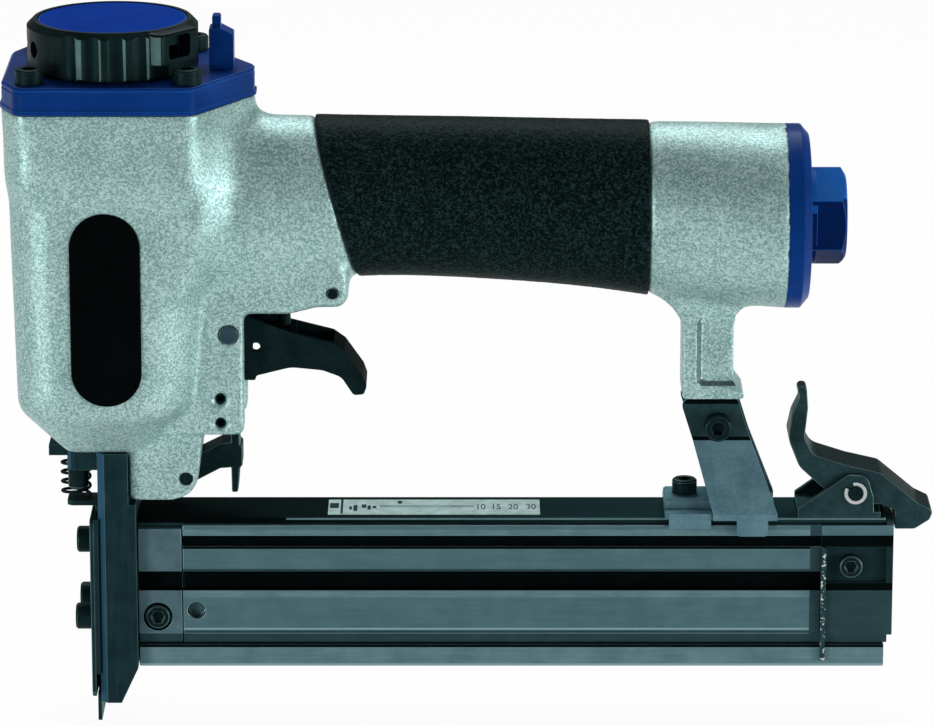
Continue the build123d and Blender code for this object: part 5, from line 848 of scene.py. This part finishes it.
# Painted shade inside the cover's hole and the front block's screw seat
repaint(cover, "grime", lambda place, normal: in_bore(place, normal, COVER_HOLE))
repaint(block, "grime", lambda place, normal: in_bore(place, normal, SCREW_SEAT))
repaint(end_piece, "worn_rib", lambda place, normal: place.y < RIB_Y)

# Nose with painted highlights on its front corners, bracket with a darker upper end between painted shadow
# lines
repaint(soft["nose_block"], "nose_lit", lambda place, normal: normal.x < -ASLANT and abs(normal.y) > ASLANT)
banded(soft["rear_bracket"], BRACKET_BANDS)

# Latch: a tapered tab, an open clip, and black on the lever's upper side. In mm and degrees.
PIN_END_Y = -8.0
TAB_TAPER = (66.0, 82.0)
TAB_TAPER_SHARE = 0.6
TAB_DROP = 2.2
TAB_DROP_SPAN = (62.0, 80.0)
CLIP_CENTRE = (189.1, 55.4)
CLIP_OUTER_R = 2.9
CLIP_INNER_R = 2.05
CLIP_OPENING = (105.0, 150.0)
CLIP_STEPS = 48


def slim_lever(piece):
    """The finger tab of the lever draws in toward its tip."""
    points = vertex_array(piece.data) / MM
    height = points[:, 2].copy()
    points[:, 1] *= 1 - TAB_TAPER_SHARE * fade(height, *TAB_TAPER)
    points[:, 2] -= TAB_DROP * fade(height, *TAB_DROP_SPAN)
    put_vertices(piece.data, points * MM)


def open_clip(node):
    """A spring ring round the end of a pin, open toward its upper front."""
    low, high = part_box(node)
    corners = ((CLIP_OUTER_R, low.y), (CLIP_OUTER_R, high.y), (CLIP_INNER_R, high.y), (CLIP_INNER_R, low.y))
    first, last = (math.radians(angle) for angle in (CLIP_OPENING[1], CLIP_OPENING[0] + 360))
    shape = bmesh.new()
    rows = []
    for step in range(CLIP_STEPS + 1):
        angle = first + (last - first) * step / CLIP_STEPS
        row = []
        for radius, y in corners:
            x = CLIP_CENTRE[0] + radius * math.cos(angle)
            z = CLIP_CENTRE[1] + radius * math.sin(angle)
            row.append(shape.verts.new((x * MM, y, z * MM)))
        rows.append(row)
    for row, following in zip(rows, rows[1:]):
        for side in range(4):
            other = (side + 1) % 4
            shape.faces.new((row[side], row[other], following[other], following[side]))
    shape.faces.new(rows[0])
    shape.faces.new(rows[-1][::-1])
    bmesh.ops.recalc_face_normals(shape, faces=shape.faces)
    piece = as_piece(shape, node + "_ring")
    piece.data.materials.append(paint_of("steel"))
    return settle(piece, node)


repaint(soft["latch_lever"], "black_steel", lambda place, normal: abs(normal.y) < ASLANT)
repaint(soft["latch_pin"], "black_steel", lambda place, normal: place.y < PIN_END_Y)
slim_lever(soft["latch_lever"])
open_clip("latch_clip")

# Ends that are drawn in, in mm: the strips beside the nose and the brass valve end
SPACER_TRIM = 0.15
SPACER_END = 0.1
VALVE_RISE = 1.9
VALVE_SPAN = (1.0, 6.0)


def trim_spacers(piece):
    """The strips end a little higher, clear of the rounded shoulders of the raised foot."""
    points = vertex_array(piece.data) / MM
    points[:, 2] += SPACER_TRIM * (points[:, 2] < points[:, 2].min() + SPACER_END)
    put_vertices(piece.data, points * MM)


def seat_valve(piece):
    """The brass end stands only a little below the casting."""
    points = vertex_array(piece.data) / MM
    above = points[:, 2] - points[:, 2].min()
    points[:, 2] += VALVE_RISE * (1 - fade(above, *VALVE_SPAN))
    put_vertices(piece.data, points * MM)


trim_spacers(soft["nose_spacers"])
seat_valve(soft["trigger_valve_body"])

# Painted shade on the upper and lower sides of the trigger, and painted light on the upper faces of the
# inlet's hexagon
TRIGGER_SIDE = 0.6
HEXAGON_TOP = 0.3
repaint(soft["trigger"], "black_deep", lambda place, normal: abs(normal.y) < TRIGGER_SIDE)
repaint(soft["inlet_fitting"], "blue_lit", lambda place, normal: normal.z > HEXAGON_TOP)

# Deflector: ridges between the flutes painted a little lighter, with a brighter painted highlight along
# each front edge and over one whole ridge
RIDGE_R = 21.25
RIDGE_X = 14.5
RIDGE_TURN = 0.25
RIDGE_TILT = 0.3
BRIGHT_RIDGE = (-10.2, -6.6)


def on_ridge(place, normal):
    return abs(normal.z) < RIDGE_TILT and abs(place.x) < RIDGE_X and place.xy.length > RIDGE_R


def highlighted_ridge(place, normal):
    turn = (normal.x * place.y - normal.y * place.x) / place.xy.length
    near = place.y < 0 and BRIGHT_RIDGE[0] < place.x < BRIGHT_RIDGE[1]
    return on_ridge(place, normal) and (near or abs(turn) > RIDGE_TURN and turn * place.y < 0)


repaint(soft["exhaust_deflector"], "ridge", on_ridge)
repaint(soft["exhaust_deflector"], "ridge_lit", highlighted_ridge)

# Springs, each with the joint of the moving piece that presses it against its upper seat
SPRING_JOINTS = {
    "contact_spring": "foot_press",
    "head_valve_spring": "head_valve_lift",
    "valve_spring": "valve_stem_lift",
}


def pressed_spring(node):
    """A coil as a smooth-shaded copy of its own, moving with its node's body."""
    piece = as_piece(welded_copy(node), node + "_coil")
    piece.data.materials.append(paint_of(SLOT_OF[node]))
    settle(piece, node)
    crisp(piece, 40)
    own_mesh(piece)


for node, joint in SPRING_JOINTS.items():
    pressed_spring(node)

for node, piece in frame["nodes"].items():
    piece.data.materials.clear()
    piece.data.materials.append(paint_of(SLOT_OF[node]))


# Label: generic marks and numbers, in mm. Bars as x from, x to, y from, y to.
LABEL_BLOCKS = (
    (54.0, 56.3, -1.3, 3.1),
    (56.8, 57.4, -6.2, 6.2),
    (59.0, 59.7, -2.6, 0.2),
    (60.1, 61.1, -3.8, 1.3),
    (62.2, 63.4, -1.0, 1.9),
    (63.7, 64.6, -2.5, 0.9),
    (65.0, 66.0, -1.4, 0.6),
    (71.5, 72.6, 2.6, 5.0),
)
LABEL_LINE = (66.8, 91.2, -0.6, 1.3)
LABEL_NUMBERS = ((92.9, "10"), (96.9, "15"), (101.3, "20"), (105.9, "30"))
NUMBER_HEIGHT = 6.4
NUMBER_WIDTH_SHARE = 0.42
NUMBER_DROP_SHARE = 0.35
INK_RISE = 0.02
INK_DEPTH = 0.05


def ink_bar(shape, x0, x1, y0, y1, top, paint=0):
    """A thin block of ink on the label."""
    corners = [(x0 * MM, y0 * MM), (x1 * MM, y0 * MM), (x1 * MM, y1 * MM), (x0 * MM, y1 * MM)]
    lower = [shape.verts.new((x, y, top - INK_DEPTH * MM)) for x, y in corners]
    upper = [shape.verts.new((x, y, top)) for x, y in corners]
    faces = [shape.faces.new(lower[::-1]), shape.faces.new(upper)]
    for i in range(4):
        j = (i + 1) % 4
        faces.append(shape.faces.new((lower[i], lower[j], upper[j], upper[i])))
    for face in faces:
        face.material_index = paint


def ink_number(shape, place, number, top):
    """A narrow number of ink, centred on a place along the label."""
    curve = bpy.data.curves.new("digits", "FONT")
    curve.body = number
    curve.size = NUMBER_HEIGHT * MM
    curve.align_x = "CENTER"
    curve.extrude = INK_DEPTH / 2 * MM
    holder = new_object("digits", curve)
    depsgraph = bpy.context.evaluated_depsgraph_get()
    mesh = bpy.data.meshes.new_from_object(holder.evaluated_get(depsgraph))
    mesh.transform(Matrix.Diagonal((NUMBER_WIDTH_SHARE, 1, 1, 1)))
    seat = (place * MM, -NUMBER_DROP_SHARE * NUMBER_HEIGHT * MM, top - INK_DEPTH / 2 * MM)
    mesh.transform(Matrix.Translation(seat))
    shape.from_mesh(mesh)
    bpy.data.objects.remove(holder)
    bpy.data.meshes.remove(mesh)


def label_marks():
    shape = bmesh.new()
    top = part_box("scale_label")[1].z + INK_RISE * MM
    for bar in LABEL_BLOCKS:
        ink_bar(shape, *bar, top)
    ink_bar(shape, *LABEL_LINE, top, paint=1)
    for place, number in LABEL_NUMBERS:
        ink_number(shape, place, number, top)
    piece = as_piece(shape, "label_marks")
    piece.data.materials.append(paint_of("ink"))
    piece.data.materials.append(paint_of("faint_ink"))
    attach(piece, BODY_OF["scale_label"])


label_marks()


# Stage: a pale floor, soft lamps and the camera. The floor glows white in shiny faces, a painted reflection
# that is full beside the tool and fades to a share of it farther toward the camera.
GLEAM = {"From Min": -0.42, "From Max": -0.12, "To Min": 0.12, "To Max": 1.0}
FLOOR_REACH = 6.0
FLOOR_GREY = (0.9, 0.9, 0.9, 1)
FLOOR_WHITE = 0.96
WORLD_LIGHT = 0.16
LAMP_AIM = Vector((0.09, 0.0, 0.09))
# Lamps: name, place, size, power
LAMPS = (
    ("left", (-0.75, -0.80, 0.05), (0.35, 0.3), 7.0),
    ("right", (1.05, -0.45, 0.02), (0.6, 0.4), 12.0),
    ("top", (0.1, 0.55, 0.9), (0.9, 0.5), 7.0),
)


def floor():
    low = cad_box[0].z
    mesh = bpy.data.meshes.new("floor")
    signs = ((-1, -1), (1, -1), (1, 1), (-1, 1))
    corners = [(x * FLOOR_REACH, y * FLOOR_REACH, low) for x, y in signs]
    mesh.from_pydata(corners, [], [(0, 1, 2, 3)])
    piece = new_object("floor", mesh)
    pale = bpy.data.materials.new("floor_pale")
    pale.use_nodes = True
    tree = pale.node_tree
    tree.nodes.clear()
    rays = add_node(tree, "LightPath", {}).outputs
    place = add_node(tree, "TexCoord", {}).outputs["Object"]
    across = add_node(tree, "SeparateXYZ", {"Vector": place}).outputs["Y"]
    near = add_node(tree, "MapRange", {"Value": across, **GLEAM}, interpolation_type="SMOOTHSTEP")
    shiny = {0: rays["Is Glossy Ray"], 1: near.outputs["Result"]}
    gleam = add_node(tree, "Math", shiny, operation="MULTIPLY")
    either = {0: rays["Is Camera Ray"], 1: gleam.outputs[0]}
    seen = add_node(tree, "Math", either, operation="MAXIMUM")
    share = add_node(tree, "Math", {0: seen.outputs[0], 1: FLOOR_WHITE}, operation="MULTIPLY")
    matt = add_node(tree, "BsdfDiffuse", {"Color": FLOOR_GREY})
    white = add_node(tree, "Emission", {"Color": WHITE})
    mix = add_node(tree, "MixShader", {"Fac": share.outputs[0], 1: matt.outputs[0], 2: white.outputs[0]})
    add_node(tree, "OutputMaterial", {"Surface": mix.outputs[0]})
    mesh.materials.append(pale)


def lamp(name, place, size, power):
    light = bpy.data.lights.new(name, "AREA")
    light.shape = "RECTANGLE"
    light.size, light.size_y = size
    light.energy = power
    piece = new_object(name, light)
    piece.location = place
    piece.rotation_euler = (LAMP_AIM - Vector(place)).to_track_quat("-Z", "Y").to_euler()


def studio():
    """A dim white world that the camera sees as plain white, and the lamps."""
    world = bpy.data.worlds.new("studio")
    world.use_nodes = True
    tree = world.node_tree
    background = tree.nodes["Background"]
    background.inputs["Color"].default_value = WHITE
    seen = add_node(tree, "LightPath", {}).outputs["Is Camera Ray"]
    strength = add_node(tree, "Math", {0: seen, 1: WORLD_LIGHT}, operation="MAXIMUM")
    tree.links.new(strength.outputs[0], background.inputs["Strength"])
    bpy.context.scene.world = world
    for settings in LAMPS:
        lamp(*settings)


def camera():
    lens = bpy.data.cameras.new("camera")
    lens.lens = CAMERA_LENS
    lens.sensor_width = CAMERA_SENSOR
    lens.sensor_fit = "HORIZONTAL"
    lens.clip_start = 0.05
    lens.clip_end = 20.0
    piece = new_object("camera", lens)
    back = Vector((0.0, -math.cos(CAMERA_ELEVATION), math.sin(CAMERA_ELEVATION)))
    piece.location = CAMERA_TARGET + CAMERA_DISTANCE * back
    piece.rotation_euler = (-back).to_track_quat("-Z", "Y").to_euler()
    bpy.context.scene.camera = piece


floor()
studio()
camera()
bpy.context.scene.view_settings.view_transform = "Standard"
